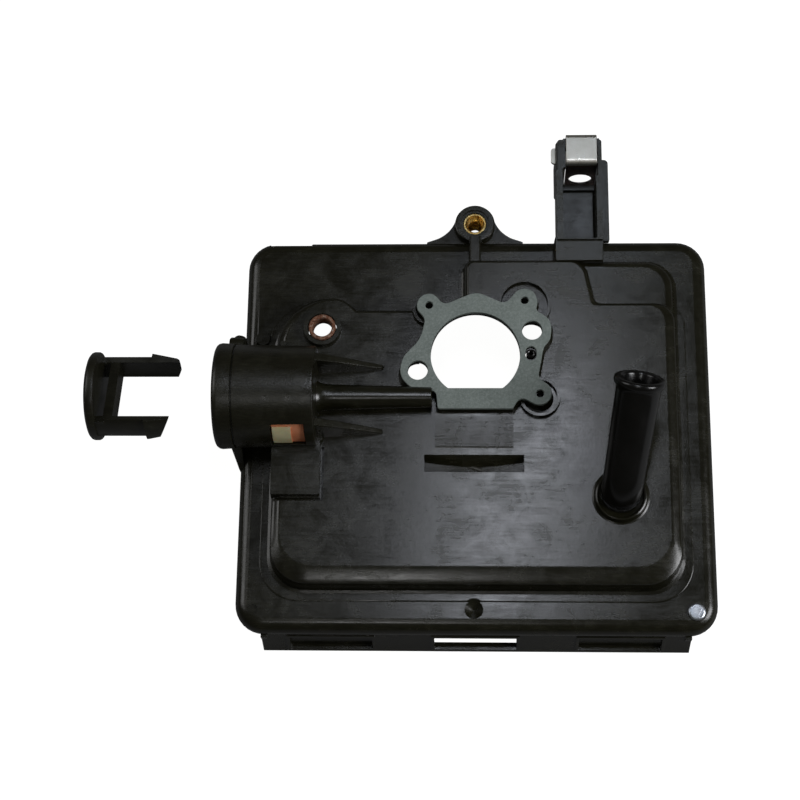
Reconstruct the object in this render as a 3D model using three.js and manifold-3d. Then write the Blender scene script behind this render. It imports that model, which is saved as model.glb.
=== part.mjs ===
// Air filter housing of a small engine: moulded base with a primer barrel, breather tube and cover arm.
// Millimetres. +X to the right, +Y towards the cover arm, +Z out of the engine side. The filter rim stands
// on z = 0. Pieces are laid out around the centre of the plate; the finished group is moved so that its
// origin is the centre of the bottom of its bounding box.
import {
  Box3, BoxGeometry, BufferAttribute, BufferGeometry, CylinderGeometry, ExtrudeGeometry, Group,
  LatheGeometry, Mesh, MeshStandardMaterial, Shape, SphereGeometry, Vector2, Vector3,
} from 'three';
import { mergeVertices } from 'three/addons/utils/BufferGeometryUtils.js';
import Module from 'manifold-3d';

const wasm = await Module();
wasm.setup();

// ---------- driving dimensions ----------
const GAP = 0.3; // clearance between pieces that touch
const REACH = 200; // longer than any piece, for cutting tools

const PLATE = { width: 145.8, depth: 126.8, corner: 9, top: 15, wall: 2.5, lipBottom: 10.5, lipRadius: 4 };
const FENCE = { width: 138, depth: 119, corner: 8, wall: 2 };
const PLATFORM = { top: 23, wall: 2.5, draft: 2.2, step: 2 };
const PLATFORM_OUTLINE = [ // x, y, corner radius
  [-62.2, -51, 9], [61.8, -51, 9], [61.8, 39, 3], [35.2, 39, 4], [35.2, 53.8, 2.5], [-2, 53.8, 2.5],
  [-2, 37.4, 2.5], [-38.5, 37.4, 2], [-43, 40.6, 2], [-62.2, 40.6, 13],
];
const LOW_STEP = { outline: [[30, 35, 3], [61.8, 35, 3], [61.8, 53.8, 6], [30, 53.8, 3]], draft: 1.6 };
const HOLLOWS = [ // under the platform, with the drop of each ceiling below the platform's own
  { x0: -58, x1: 57.8, y0: -46.8, y1: 33.4, drop: 0 },
  { x0: -54.5, x1: -42, y0: 33, y1: 36.6, drop: 0 },
  { x0: 0.8, x1: 57.8, y0: 33, y1: 49.6, drop: 2 },
];
const PAD = { top: 26.7, thickness: 1.5, bossTop: 25 };
const JOINT = { ring: 18.9, lowerEdge: 2.7, lobe: 5.4, ear: 3.5 };
const RAMP = { x0: -12, x1: 11.5, y0: -9, y1: 2.9, top: 26.2 };
const FOOT_PAD = { x0: -62.1, x1: -46.9, y0: -23.8, y1: -6, top: 25.4 };
const DIMPLE = { x: -0.5, y: -56.2, radius: 2.5, depth: 0.7 };
const EDGE_NOTCH = { x0: -66, x1: -52.5, depth: 1.4 };
const GASKET = { bottom: 27, top: 28 };
const THROAT = { x: 0, y: 20.2, radius: 13.7, flat: 9.3, hollow: 16.4, flare: 18.4, flareTop: 16 };
const CARB_BOLTS = [{ x: -17.6, y: 15.1 }, { x: 17.4, y: 28 }];
const CARB_BOLT = { radius: 3.1, hollow: 4.2 };
const GASKET_EARS = [
  { x: -14.3, y: 36.3, boss: 5.2 },
  { x: 15.2, y: 37.8, boss: 8.2 },
  { x: 19.7, y: 7.6, boss: 6.2 },
];
const EAR_HOLE_RADIUS = 1.1;
const PORT = { x: 17, y: 20.5, slotWidth: 3.4, slotLength: 4.4, sleeveOuter: 1.4, sleeveInner: 0.6 };
const BUSHING = {
  x: -47.5, y: 30, outer: 4.2, inner: 3, bottom: 20.6, top: 25.7, bossRadius: 5.8, bossTop: 25.4,
};
const EAR = {
  x: -0.2, y: 68.9, radius: 7.2, halfFoot: 15.4, bottom: 5.5, top: 15.6, webBottom: 7, webTop: 12.5,
};
const INSERT = { outer: 3.7, inner: 2.5, bottom: 6, top: 14.8 };
const RIB = { x0: -2, x1: 1.8, top: 19 };
const BARREL = {
  mouth: -78.6, end: -48.2, y: 6.7, z: 28, outer: 15.35, mouthOuter: 16.2, inner: 14, collar: -73.9,
  endWall: 1.7,
};
const WINDOW = { near: -61.3, far: -51, width: 10.2 };
const LEG_TURN = -19.5; // degrees about X: legs and windows are turned up from the Y axis
const DUCT = { start: -47.9, end: -13.2, z: 26.8, startRadius: 4, endRadius: 3.1, bore: 1.5 };
const GUSSET = { length: 19.1, height: 11, tipHeight: 1, thickness: 1.9, upperY: 17.4, lowerY: -3.2 };
const SOCKET = { x: 43.7, y: -23.4, outer: 7.9, inner: 5.9, top: 25.2 };
const TUBE = {
  outer: 6.7, inner: 5.3, lip: 7.6, lipLength: 2.2, knee: 29.2, mouth: { x: 48.1, y: 5.5, z: 49.5 },
};
const ARM = { x0: 25.7, x1: 40.1, start: 60.2, end: 96.1, top: 24, floorTop: 13, floorBottom: 11, wall: 2 };
const ARM_END = { start: 82.5, bottom: 3, innerX0: 28.6, innerX1: 39, wallStart: 92.6, wallEnd: 95 };
const CLIP = {
  x0: 28.9, x1: 38.7, y0: 85.5, y1: 96.1, top: 24.6, bottom: 4.4, sheet: 0.8, hole: 4, holeZ: 12.2,
};
const NUT = { outer: 5.5, inner: 3.2, length: 2.6 };
const PIN = { x: 66.1, y: -56.8, head: 2.65, shank: 1.5 };
const RAIL = { halfLength: 65, top: 10.2, topY: -63.2, bottomY: -66.5, wall: 2 };
const SLOTS = { pitch: 43.8, width: 25, bottom: 1.8, top: 8.6, pocket: 1.2 }; // only the middle one is open
const LOUVRE = { x0: -15.5, x1: 14.8, y0: -15.6, y1: -10.5, floor: 21.2 };
const BULB = { flange: 10.5, outer: 9.6, wall: 1.2, base: -50.2, tip: -70.7, flangeLength: 1.5 };
const RETAINER = { outer: 10.6, inner: 9.9, start: -55.4 };
const BUTTON = {
  face: -118.6, disc: 13.5, discLength: 3, dome: 1.2, legOuter: 12.7, legInner: 10.9, legLength: 27.5,
  legHalfAngle: 19.5, barbOuter: 13.75, barbStart: 18.9, bar0: 6.5, bar1: 9, barWidth: 7,
};

// ---------- materials ----------
const plastic = (color, roughness) => new MeshStandardMaterial({ color, roughness, metalness: 0 });
const metal = (color, roughness) => new MeshStandardMaterial({ color, roughness, metalness: 1 });
const nylon = plastic(0x25241f, 0.42);
const fibre = plastic(0x76837a, 0.85);
const rubber = plastic(0x151515, 0.3);
const bulbRubber = plastic(0xb8a878, 0.6);
const ringPlastic = plastic(0xc07a50, 0.5);
const brass = metal(0xb08d4f, 0.35);
const rustySteel = metal(0x6b4a38, 0.7);
const zincSteel = metal(0xd8d6cc, 0.3);

// ---------- solid helpers ----------
function toSolid(geometry) {
  const bare = new BufferGeometry();
  bare.setAttribute('position', geometry.getAttribute('position'));
  if (geometry.index) bare.setIndex(geometry.index);
  const merged = mergeVertices(bare, 1e-4);
  const triangles = [];
  for (let i = 0; i < merged.index.count; i += 3) {
    const [a, b, c] = [merged.index.getX(i), merged.index.getX(i + 1), merged.index.getX(i + 2)];
    if (a !== b && b !== c && c !== a) triangles.push(a, b, c);
  }
  return new wasm.Manifold(new wasm.Mesh({
    numProp: 3,
    vertProperties: Float32Array.from(merged.getAttribute('position').array),
    triVerts: Uint32Array.from(triangles),
  }));
}

function toGeometry(solid) {
  const mesh = solid.getMesh();
  const geometry = new BufferGeometry();
  geometry.setAttribute('position', new BufferAttribute(Float32Array.from(mesh.vertProperties), 3));
  geometry.setIndex(new BufferAttribute(Uint32Array.from(mesh.triVerts), 1));
  const faceted = geometry.toNonIndexed();
  faceted.computeVertexNormals();
  return faceted;
}

const join = (solids) => solids.reduce((sum, solid) => sum.add(solid));
const cut = (solid, tools) => tools.reduce((rest, tool) => rest.subtract(tool), solid);

const block = (x0, x1, y0, y1, z0, z1) => toSolid(
  new BoxGeometry(x1 - x0, y1 - y0, z1 - z0).translate((x0 + x1) / 2, (y0 + y1) / 2, (z0 + z1) / 2),
);

// Upright round bar; a second radius gives its lower end.
const post = (x, y, radius, z0, z1, sides = 32, lowerRadius = radius) => toSolid(
  new CylinderGeometry(radius, lowerRadius, z1 - z0, sides).rotateX(Math.PI / 2)
    .translate(x, y, (z0 + z1) / 2),
);

// Round bar along Y.
const crossPost = (x, z, radius, y0, y1, sides = 32) => toSolid(
  new CylinderGeometry(radius, radius, y1 - y0, sides).translate(x, (y0 + y1) / 2, z),
);

// Solid turned about an axis along X through (y, z); the profile is a closed loop of [radius, x] points.
function turnedAlongX(profile, y, z, sides = 48) {
  const points = profile.map(([radius, x]) => new Vector2(radius, x));
  const closed = points[0].x === 0 ? points : [...points, points[0].clone()];
  return toSolid(new LatheGeometry(closed, sides).rotateZ(-Math.PI / 2).translate(0, y, z));
}

// Plate of constant outline between two heights.
const slab = (shape, z0, z1, curveSegments = 10) => toSolid(
  new ExtrudeGeometry(shape, { depth: z1 - z0, bevelEnabled: false, curveSegments }).translate(0, 0, z0),
);

const above = (z) => block(-REACH, REACH, -REACH, REACH, z, z + REACH);

// Plate whose upper edge is rounded (several steps) or drafted (one step).
function shaped(shape, z0, z1, inset, rise, steps) {
  const geometry = new ExtrudeGeometry(shape, {
    depth: z1 - z0, bevelThickness: rise, bevelSize: inset, bevelOffset: -inset, bevelSegments: steps,
    curveSegments: 6,
  });
  return toSolid(geometry.translate(0, 0, z0 - rise)).intersect(above(z0));
}

// Closed outline through corners [x, y, radius], each corner rounded.
function outline(corners) {
  const shape = new Shape();
  corners.forEach(([x, y, radius], i) => {
    const corner = new Vector2(x, y);
    const towards = (other) => new Vector2(other[0], other[1]).sub(corner).setLength(radius).add(corner);
    const before = towards(corners.at(i - 1));
    const after = towards(corners[(i + 1) % corners.length]);
    if (i === 0) shape.moveTo(before.x, before.y);
    else shape.lineTo(before.x, before.y);
    shape.bezierCurveTo(...between(before, corner), ...between(after, corner), after.x, after.y);
  });
  shape.closePath();
  return shape;
}

// Handle that makes a Bezier corner follow a quarter circle.
const between = (end, corner) => end.clone().lerp(corner, 0.5523).toArray();

const rectangle = (width, depth, r) => outline([
  [width / 2, -depth / 2, r], [width / 2, depth / 2, r],
  [-width / 2, depth / 2, r], [-width / 2, -depth / 2, r],
]);

// Outline of a belt laid tightly round two circles.
function belt(a, radiusA, b, radiusB) {
  const heading = Math.atan2(b.y - a.y, b.x - a.x);
  const wrap = Math.acos((radiusA - radiusB) / Math.hypot(b.x - a.x, b.y - a.y));
  const shape = new Shape();
  shape.absarc(a.x, a.y, radiusA, heading + wrap, heading - wrap + 2 * Math.PI, false);
  shape.absarc(b.x, b.y, radiusB, heading - wrap, heading + wrap, false);
  return shape;
}

const housing = new Group();

function addPiece(name, solid, material) {
  const mesh = new Mesh(toGeometry(solid), material);
  mesh.name = name;
  housing.add(mesh);
}

// ---------- shared shapes ----------
const barrelRoom = turnedAlongX(
  [[0, -REACH], [BARREL.outer + GAP, -REACH], [BARREL.outer + GAP, BARREL.end + GAP], [0, BARREL.end + GAP]],
  BARREL.y, BARREL.z,
);

const roof = PLATE.top - PLATE.wall; // underside of the flange
const ceiling = PLATFORM.top - PLATFORM.wall; // underside of the platform

// Flange of the carburettor joint: ring round the throat, bolt lobes, ears and the straight lower edge.
function jointFlange(z0, z1, grow) {
  const edge = JOINT.lowerEdge - grow;
  const ring = post(THROAT.x, THROAT.y, JOINT.ring + grow, z0, z1, 56);
  const lower = slab(outline([
    [-11.7 - grow, edge, 0.8], [11.3 + grow, edge, 0.8], [13.6 + grow, 5.8, 1.5], [19.6 + grow, 8, 1],
    [20.6 + grow, 22, 2], [0, 40.2 + grow, 3], [-12.4 - grow, 20, 1],
  ]), z0, z1, 3);
  const lobes = CARB_BOLTS.map((bolt) => slab(belt(bolt, JOINT.lobe + grow, THROAT, 15 + grow), z0, z1, 18));
  const ears = GASKET_EARS.map((ear) => slab(belt(ear, JOINT.ear + grow, THROAT, 9), z0, z1, 12));
  return join([ring, lower, ...lobes, ...ears]).subtract(block(-REACH, REACH, -REACH, edge, z0 - 1, z1 + 1));
}

function throatHole(z0, z1) {
  const floor = block(-REACH, REACH, -REACH, THROAT.flat, z0 - 1, z1 + 1);
  return post(THROAT.x, THROAT.y, THROAT.radius, z0, z1, 56).subtract(floor);
}

const boltHoles = (z0, z1) => CARB_BOLTS.map(({ x, y }) => post(x, y, CARB_BOLT.radius, z0, z1, 24));

// ---------- base plate ----------
// Flange with a rounded lip, raised hollow platform, joint pad, ramp and bosses, open underneath.
function basePlate() {
  const { top, lipBottom, lipRadius } = PLATE;
  const flange = shaped(
    rectangle(PLATE.width, PLATE.depth, PLATE.corner), lipBottom, top, lipRadius, lipRadius, 3,
  );
  const root = top - 1;
  const platform = shaped(
    outline(PLATFORM_OUTLINE), root, PLATFORM.top, PLATFORM.draft, PLATFORM.top - top, 1,
  );
  const lowTop = PLATFORM.top - PLATFORM.step;
  const lowStep = shaped(outline(LOW_STEP.outline), root, lowTop, LOW_STEP.draft, lowTop - top, 1);
  const rib = block(RIB.x0, RIB.x1, 38, PLATE.depth / 2 - GAP, root, RIB.top);
  const pad = jointFlange(root, PAD.top, -GAP);
  const bosses = GASKET_EARS.map(({ x, y, boss }) => post(x, y, boss, PLATFORM.top - 1.5, PAD.bossTop));
  const footPad = block(FOOT_PAD.x0, FOOT_PAD.x1, FOOT_PAD.y0, FOOT_PAD.y1, lowTop, FOOT_PAD.top);
  const bushingBoss = post(BUSHING.x, BUSHING.y, BUSHING.bossRadius, root, BUSHING.bossTop);
  const body = join([flange, platform, lowStep, rib, pad, ramp(), ...bosses, footPad, bushingBoss]);

  return cut(body, [
    underside(),
    throatHole(0, REACH),
    ...boltHoles(0, REACH),
    ...GASKET_EARS.map(({ x, y }) => post(x, y, EAR_HOLE_RADIUS, PAD.bossTop - 2, REACH, 12)),
    post(PORT.x, PORT.y, PORT.sleeveOuter + GAP, 0, REACH, 20),
    post(BUSHING.x, BUSHING.y, BUSHING.outer + GAP, 0, REACH, 28),
    post(SOCKET.x, SOCKET.y, SOCKET.inner, 0, REACH),
    post(PIN.x, PIN.y, PIN.shank + GAP, 0, REACH, 16),
    post(DIMPLE.x, DIMPLE.y, DIMPLE.radius, top - DIMPLE.depth, REACH, 20),
    block(EDGE_NOTCH.x0, EDGE_NOTCH.x1, PLATE.depth / 2 - EDGE_NOTCH.depth, REACH, 0, REACH),
    block(LOUVRE.x0, LOUVRE.x1, LOUVRE.y0, LOUVRE.y1, LOUVRE.floor, REACH),
    barrelRoom,
  ]);
}

// Wedge that falls from the joint pad to the louvre.
function ramp() {
  const side = new Shape([
    new Vector2(RAMP.y0, PLATFORM.top - 1), new Vector2(RAMP.y1, PLATFORM.top - 1),
    new Vector2(RAMP.y1, RAMP.top), new Vector2(RAMP.y0, PLATFORM.top),
  ]);
  const wedge = new ExtrudeGeometry(side, { depth: RAMP.x1 - RAMP.x0, bevelEnabled: false });
  return toSolid(wedge.rotateX(Math.PI / 2).rotateZ(Math.PI / 2).translate(RAMP.x0, 0, 0));
}

// Everything hollow below the plate: filter tray, air chambers, throat and bolt holes.
function underside() {
  const side = 2.6; // wall of the flange's lip
  const room = rectangle(PLATE.width - 2 * side, PLATE.depth - 2 * side, PLATE.corner - side);
  const tray = slab(room, 0, roof, 4);
  const chambers = HOLLOWS.map(({ x0, x1, y0, y1, drop }) => block(x0, x1, y0, y1, roof - 1, ceiling - drop));
  const padUnderside = PAD.top - PAD.thickness;
  const throat = post(THROAT.x, THROAT.y, THROAT.hollow, roof - 1, padUnderside, 56);
  const flare = post(THROAT.x, THROAT.y, THROAT.hollow, roof - 1, THROAT.flareTop, 56, THROAT.flare);
  const bolts = CARB_BOLTS.map(({ x, y }) => post(x, y, CARB_BOLT.hollow, ceiling - 1, padUnderside, 24));
  return join([tray, ...chambers, throat, flare, ...bolts]);
}

// ---------- walls below the plate ----------
function filterFence() {
  const top = PLATE.top - PLATE.wall - GAP;
  const { width, depth, corner, wall } = FENCE;
  const inside = rectangle(width - 2 * wall, depth - 2 * wall, corner - wall);
  return slab(rectangle(width, depth, corner), 0, top, 6).subtract(slab(inside, -1, top + 1, 6));
}

// Part of the hinge rail between two distances from its outer face; it leans out to its lower edge.
function leaningStrip(from, to) {
  const profile = new Shape([
    new Vector2(0, RAIL.bottomY + from), new Vector2(0, RAIL.bottomY + to),
    new Vector2(-RAIL.top, RAIL.topY + to), new Vector2(-RAIL.top, RAIL.topY + from),
  ]);
  const strip = new ExtrudeGeometry(profile, { depth: 2 * RAIL.halfLength, bevelEnabled: false });
  return toSolid(strip.rotateY(Math.PI / 2).translate(-RAIL.halfLength, 0, 0));
}

function hingeRail() {
  const window = (middle) => block(
    middle - SLOTS.width / 2, middle + SLOTS.width / 2, -REACH, 0, SLOTS.bottom, SLOTS.top,
  );
  const pockets = leaningStrip(-1, SLOTS.pocket).intersect(join([window(-SLOTS.pitch), window(SLOTS.pitch)]));
  const webs = [-RAIL.halfLength, RAIL.halfLength - RAIL.wall].map(
    (x) => block(x, x + RAIL.wall, RAIL.topY - 0.5, -FENCE.depth / 2 - GAP, 0, RAIL.top),
  );
  return join([cut(leaningStrip(0, RAIL.wall), [window(0), pockets]), ...webs]);
}

// ---------- mounting ear ----------
function mountingEar() {
  const foot = PLATE.depth / 2 + GAP;
  const bell = new Shape();
  bell.moveTo(EAR.x - EAR.halfFoot, foot);
  bell.bezierCurveTo(EAR.x - 9, foot + 1, EAR.x - 7.6, foot + 3, EAR.x - EAR.radius, EAR.y);
  bell.absarc(EAR.x, EAR.y, EAR.radius, Math.PI, 0, true);
  bell.bezierCurveTo(EAR.x + 7.6, foot + 3, EAR.x + 9, foot + 1, EAR.x + EAR.halfFoot, foot);
  bell.closePath();
  const web = slab(bell, EAR.webBottom, EAR.webTop, 12);
  const boss = post(EAR.x, EAR.y, EAR.radius, EAR.bottom, EAR.top, 40);
  const nib = block(RIB.x0, RIB.x1, foot, EAR.y - 5, EAR.webTop - 1, EAR.top);
  const flangeRoom = block(-REACH, REACH, 0, foot, 0, REACH);
  return cut(join([web, boss, nib]), [flangeRoom, post(EAR.x, EAR.y, INSERT.outer + GAP, 0, REACH, 28)]);
}

const sleeve = (x, y, outer, inner, z0, z1, sides = 28) => (
  post(x, y, outer, z0, z1, sides).subtract(post(x, y, inner, z0 - 1, z1 + 1, sides))
);

// ---------- primer barrel and its supports ----------
const turnLegs = (solid) => solid.translate([0, -BARREL.y, -BARREL.z]).rotate([LEG_TURN, 0, 0])
  .translate([0, BARREL.y, BARREL.z]);

function primerBarrel() {
  const { mouth, end, outer, mouthOuter, inner, collar, endWall, y, z } = BARREL;
  const shell = turnedAlongX([
    [mouthOuter, mouth], [mouthOuter, collar], [outer, collar + 0.8], [outer, end],
    [DUCT.bore, end], [DUCT.bore, end - endWall], [inner, end - endWall], [inner, mouth],
  ], y, z);
  const halfWidth = WINDOW.width / 2;
  const windows = turnLegs(block(WINDOW.near, WINDOW.far, y - 20, y + 20, z - halfWidth, z + halfWidth));
  const core = turnedAlongX([[0, mouth], [10, mouth], [10, end], [0, end]], y, z, 24);
  return shell.subtract(windows.subtract(core));
}

// Bulkhead that carries the barrel's mouth end over the edge of the flange.
function barrelSaddle() {
  const [back, front] = [-PLATE.width / 2 - GAP, -76];
  const shape = outline([
    [-12.5, 9, 0.5], [27.5, 9, 0.5], [26.4, 27, 1.5], [21, 27, 0.5], [-7, 25, 0.5], [-8.1, 20, 1],
    [-10.9, 15, 1],
  ]);
  const wall = new ExtrudeGeometry(shape, { depth: back - front, bevelEnabled: false, curveSegments: 4 });
  const upright = wall.rotateX(Math.PI / 2).rotateZ(Math.PI / 2).translate(front, 0, 0);
  const room = turnedAlongX([
    [0, -REACH], [BARREL.mouthOuter + GAP, -REACH], [BARREL.mouthOuter + GAP, 0], [0, 0],
  ], BARREL.y, BARREL.z);
  return toSolid(upright).subtract(room);
}

function primerDuct() {
  const { start, end, z, startRadius, endRadius, bore } = DUCT;
  const pipe = turnedAlongX([[0, start], [startRadius, start], [endRadius, end], [0, end]], BARREL.y, z, 24);
  const air = [[0, start - 1], [bore, start - 1], [bore, end + 1], [0, end + 1]];
  const hole = turnedAlongX(air, BARREL.y, z, 16);
  return cut(pipe.intersect(above(PLATFORM.top + GAP)), [hole, jointFlange(PLATFORM.top, z + 5, GAP)]);
}

function gusset(y) {
  const [x, z] = [BARREL.end + GAP, PLATFORM.top + GAP];
  const side = new Shape([
    new Vector2(x, z), new Vector2(x + GUSSET.length, z),
    new Vector2(x + GUSSET.length, z + GUSSET.tipHeight), new Vector2(x, z + GUSSET.height),
  ]);
  const plate = new ExtrudeGeometry(side, { depth: GUSSET.thickness, bevelEnabled: false });
  return toSolid(plate.rotateX(Math.PI / 2).translate(0, y + GUSSET.thickness / 2, 0));
}

// ---------- carburettor gasket ----------
function gasket() {
  const { bottom, top } = GASKET;
  const { x, y, slotWidth, slotLength } = PORT;
  const reach = (slotLength - slotWidth) / 2;
  const slot = belt({ x, y: y - reach }, slotWidth / 2, { x, y: y + reach }, slotWidth / 2);
  return cut(jointFlange(bottom, top, 0), [
    throatHole(bottom - 1, top + 1),
    ...boltHoles(bottom - 1, top + 1),
    ...GASKET_EARS.map((ear) => post(ear.x, ear.y, EAR_HOLE_RADIUS, bottom - 1, top + 1, 12)),
    slab(slot, bottom - 1, top + 1, 8),
  ]);
}

// ---------- breather tube ----------
// Short upright stub, round knee and a long slanted pipe with a lip at its mouth.
function breatherTube() {
  const knee = new Vector3(SOCKET.x, SOCKET.y + 1, TUBE.knee);
  const mouth = new Vector3(TUBE.mouth.x, TUBE.mouth.y, TUBE.mouth.z);
  const along = mouth.clone().sub(knee);
  const length = along.length();
  const pitch = Math.atan2(Math.hypot(along.x, along.y), along.z);
  const heading = Math.atan2(along.y, along.x);
  const pipe = (radius, from, to, sides) => toSolid(
    new CylinderGeometry(radius, radius, to - from, sides).rotateX(Math.PI / 2)
      .translate(0, 0, (from + to) / 2).rotateY(pitch).rotateZ(heading).translate(knee.x, knee.y, knee.z),
  );
  const ball = (radius) => toSolid(new SphereGeometry(radius, 28, 14).translate(knee.x, knee.y, knee.z));
  const stub = (radius, z0) => post(knee.x, knee.y, radius, z0, knee.z, 28);
  const foot = SOCKET.top + GAP;
  const skin = join([
    stub(TUBE.outer, foot), ball(TUBE.outer), pipe(TUBE.outer, 0, length, 28),
    pipe(TUBE.lip, length - TUBE.lipLength, length, 28),
  ]).intersect(above(foot));
  return cut(skin, [stub(TUBE.inner, foot - 1), ball(TUBE.inner), pipe(TUBE.inner, 0, length + 1, 28)]);
}

// ---------- cover arm, its clip and nut ----------
function coverBracket() {
  const { x0, x1, start, end, top, floorTop, floorBottom, wall } = ARM;
  const overhang = PLATE.depth / 2 + GAP;
  const foot = block(x0 - 0.7, x1, 54.2, start, PLATE.top + GAP, PLATFORM.top);
  const overFlange = block(x0, x1, start - 1, overhang, PLATE.top + GAP, top);
  const trough = block(x0, x1, overhang, ARM_END.start, floorBottom, top);
  const box = block(x0, x1, ARM_END.start, end, ARM_END.bottom, top);
  const fin = block(x1 - 1, x1 + 2.8, overhang, end - 2, floorBottom, floorTop);
  const holeZ = CLIP.holeZ;
  const holeX = (CLIP.x0 + CLIP.x1) / 2;
  const { innerX0, innerX1, wallStart, wallEnd } = ARM_END;
  const endWall = block(innerX0 - 1, innerX1 + 1, wallStart, wallEnd, 5, top - 1)
    .subtract(crossPost(holeX, holeZ, CLIP.hole, 0, REACH, 24));
  const insideTrough = block(x0 + wall, x1 - wall, start, ARM_END.start + 1, floorTop, REACH);
  const insideBox = block(innerX0, innerX1, ARM_END.start - 1, REACH, 0, REACH);
  const body = cut(join([foot, overFlange, trough, box, fin]), [insideTrough, insideBox]);
  return join([body, endWall]);
}

function springClip() {
  const { x0, x1, y0, y1, top, bottom, sheet, hole, holeZ } = CLIP;
  const side = new Shape();
  side.moveTo(y0, bottom);
  side.lineTo(y0, top - 1.6);
  side.quadraticCurveTo(y0, top, y0 + 1.6, top);
  side.lineTo(y1 - 1.6, top);
  side.quadraticCurveTo(y1, top, y1, top - 1.6);
  side.lineTo(y1, bottom);
  side.lineTo(y1 - sheet, bottom);
  side.lineTo(y1 - sheet, top - 1.8);
  side.quadraticCurveTo(y1 - sheet, top - sheet, y1 - 1.8, top - sheet);
  side.lineTo(y0 + 1.8, top - sheet);
  side.quadraticCurveTo(y0 + sheet, top - sheet, y0 + sheet, top - 1.8);
  side.lineTo(y0 + sheet, bottom);
  side.closePath();
  const strip = new ExtrudeGeometry(side, { depth: x1 - x0, bevelEnabled: false, curveSegments: 5 });
  const sheetSolid = toSolid(strip.rotateX(Math.PI / 2).rotateZ(Math.PI / 2).translate(x0, 0, 0));
  return sheetSolid.subtract(crossPost((x0 + x1) / 2, holeZ, hole, y0 - 1, y1 + 1, 28));
}

function clipNut() {
  const [x, y, z] = [(CLIP.x0 + CLIP.x1) / 2, CLIP.y1 + GAP, CLIP.holeZ];
  return crossPost(x, z, NUT.outer, y, y + NUT.length, 6)
    .subtract(crossPost(x, z, NUT.inner, y - 1, y + NUT.length + 1, 24));
}

// ---------- corner pin ----------
const cornerPin = () => join([
  post(PIN.x, PIN.y, PIN.head, PLATE.top + GAP, PLATE.top + 1, 24),
  post(PIN.x, PIN.y, PIN.shank, PLATE.top - PLATE.wall + 0.2, PLATE.top + 0.6, 16),
]);

// ---------- primer bulb, ring and button ----------
function primerBulb() {
  const { flange, outer, wall, base, tip, flangeLength } = BULB;
  const dome = (radius, from, to, steps) => Array.from({ length: steps + 1 }, (_, i) => {
    const angle = (i / steps) * Math.PI / 2;
    return [radius * Math.sin(angle), to + (from - to) * (1 - Math.cos(angle))];
  });
  const domeStart = tip + outer * 1.1;
  const skin = [
    ...dome(outer, domeStart, tip, 6),
    [outer, base - flangeLength], [flange, base - flangeLength], [flange, base], [0, base],
  ];
  const hollow = [...dome(outer - wall, domeStart, tip + wall, 6), [outer - wall, base + 1], [0, base + 1]];
  return turnedAlongX(skin, BARREL.y, BARREL.z, 32).subtract(turnedAlongX(hollow, BARREL.y, BARREL.z, 32));
}

function bulbRetainer() {
  const { outer, inner, start } = RETAINER;
  const end = BULB.base - BULB.flangeLength - GAP;
  return turnedAlongX([[outer, start], [outer, end], [inner, end], [inner, start]], BARREL.y, BARREL.z, 32);
}

// Disc, cross bar and two curved legs with barbs; its axis is the barrel's axis.
function primerButton() {
  const b = BUTTON;
  const disc = turnedAlongX([
    [0, 0], [b.disc * 0.6, 0.35], [b.disc - 0.6, b.dome], [b.disc, b.dome + 0.6],
    [b.disc, b.dome + b.discLength], [0, b.dome + b.discLength],
  ], 0, 0);
  const shell = turnedAlongX(
    [[b.legOuter, b.dome], [b.legOuter, b.legLength], [b.legInner, b.legLength], [b.legInner, b.dome]], 0, 0,
  );
  const barbs = turnedAlongX([
    [b.legInner + 0.6, b.barbStart], [b.barbOuter, b.barbStart], [b.legOuter - 0.3, b.legLength],
    [b.legInner + 0.6, b.legLength],
  ], 0, 0);
  const halfLeg = b.legInner * Math.sin(b.legHalfAngle * Math.PI / 180);
  const legRoom = block(0, REACH, -REACH, REACH, -halfLeg, halfLeg);
  const legs = join([shell, barbs]).intersect(legRoom);
  const bar = block(b.bar0, b.bar1, -b.legInner - 0.8, b.legInner + 0.8, -b.barWidth / 2, b.barWidth / 2);
  return turnLegs(join([disc, legs, bar]).translate([b.face, BARREL.y, BARREL.z]));
}

// ---------- assembly ----------
addPiece('base_plate', basePlate(), nylon);
addPiece('filter_fence', filterFence(), nylon);
addPiece('hinge_rail', hingeRail(), nylon);
addPiece('mounting_ear', mountingEar(), nylon);
addPiece('ear_insert', sleeve(EAR.x, EAR.y, INSERT.outer, INSERT.inner, INSERT.bottom, INSERT.top), brass);
addPiece('boss_bushing', sleeve(
  BUSHING.x, BUSHING.y, BUSHING.outer, BUSHING.inner, BUSHING.bottom, BUSHING.top,
), rustySteel);
addPiece('primer_barrel', primerBarrel(), nylon);
addPiece('barrel_saddle', barrelSaddle(), nylon);
addPiece('primer_duct', primerDuct(), nylon);
addPiece('gusset_upper', gusset(GUSSET.upperY), nylon);
addPiece('gusset_lower', gusset(GUSSET.lowerY), nylon);
addPiece('carburettor_gasket', gasket(), fibre);
addPiece('primer_port_seal', sleeve(
  PORT.x, PORT.y, PORT.sleeveOuter, PORT.sleeveInner, PLATFORM.top - 0.6, GASKET.top, 20,
), rubber);
addPiece('breather_socket', sleeve(
  SOCKET.x, SOCKET.y, SOCKET.outer, SOCKET.inner, PLATFORM.top + GAP, SOCKET.top, 40,
), nylon);
addPiece('breather_tube', breatherTube(), rubber);
addPiece('cover_bracket', coverBracket(), nylon);
addPiece('spring_clip', springClip(), zincSteel);
addPiece('clip_nut', clipNut(), zincSteel);
addPiece('corner_pin', cornerPin(), zincSteel);
addPiece('primer_bulb', primerBulb(), bulbRubber);
addPiece('bulb_retainer', bulbRetainer(), ringPlastic);
addPiece('primer_button', primerButton(), nylon);

const box = new Box3().setFromObject(housing);
housing.position.set(-(box.min.x + box.max.x) / 2, -(box.min.y + box.max.y) / 2, -box.min.z);

export default housing;
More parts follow.
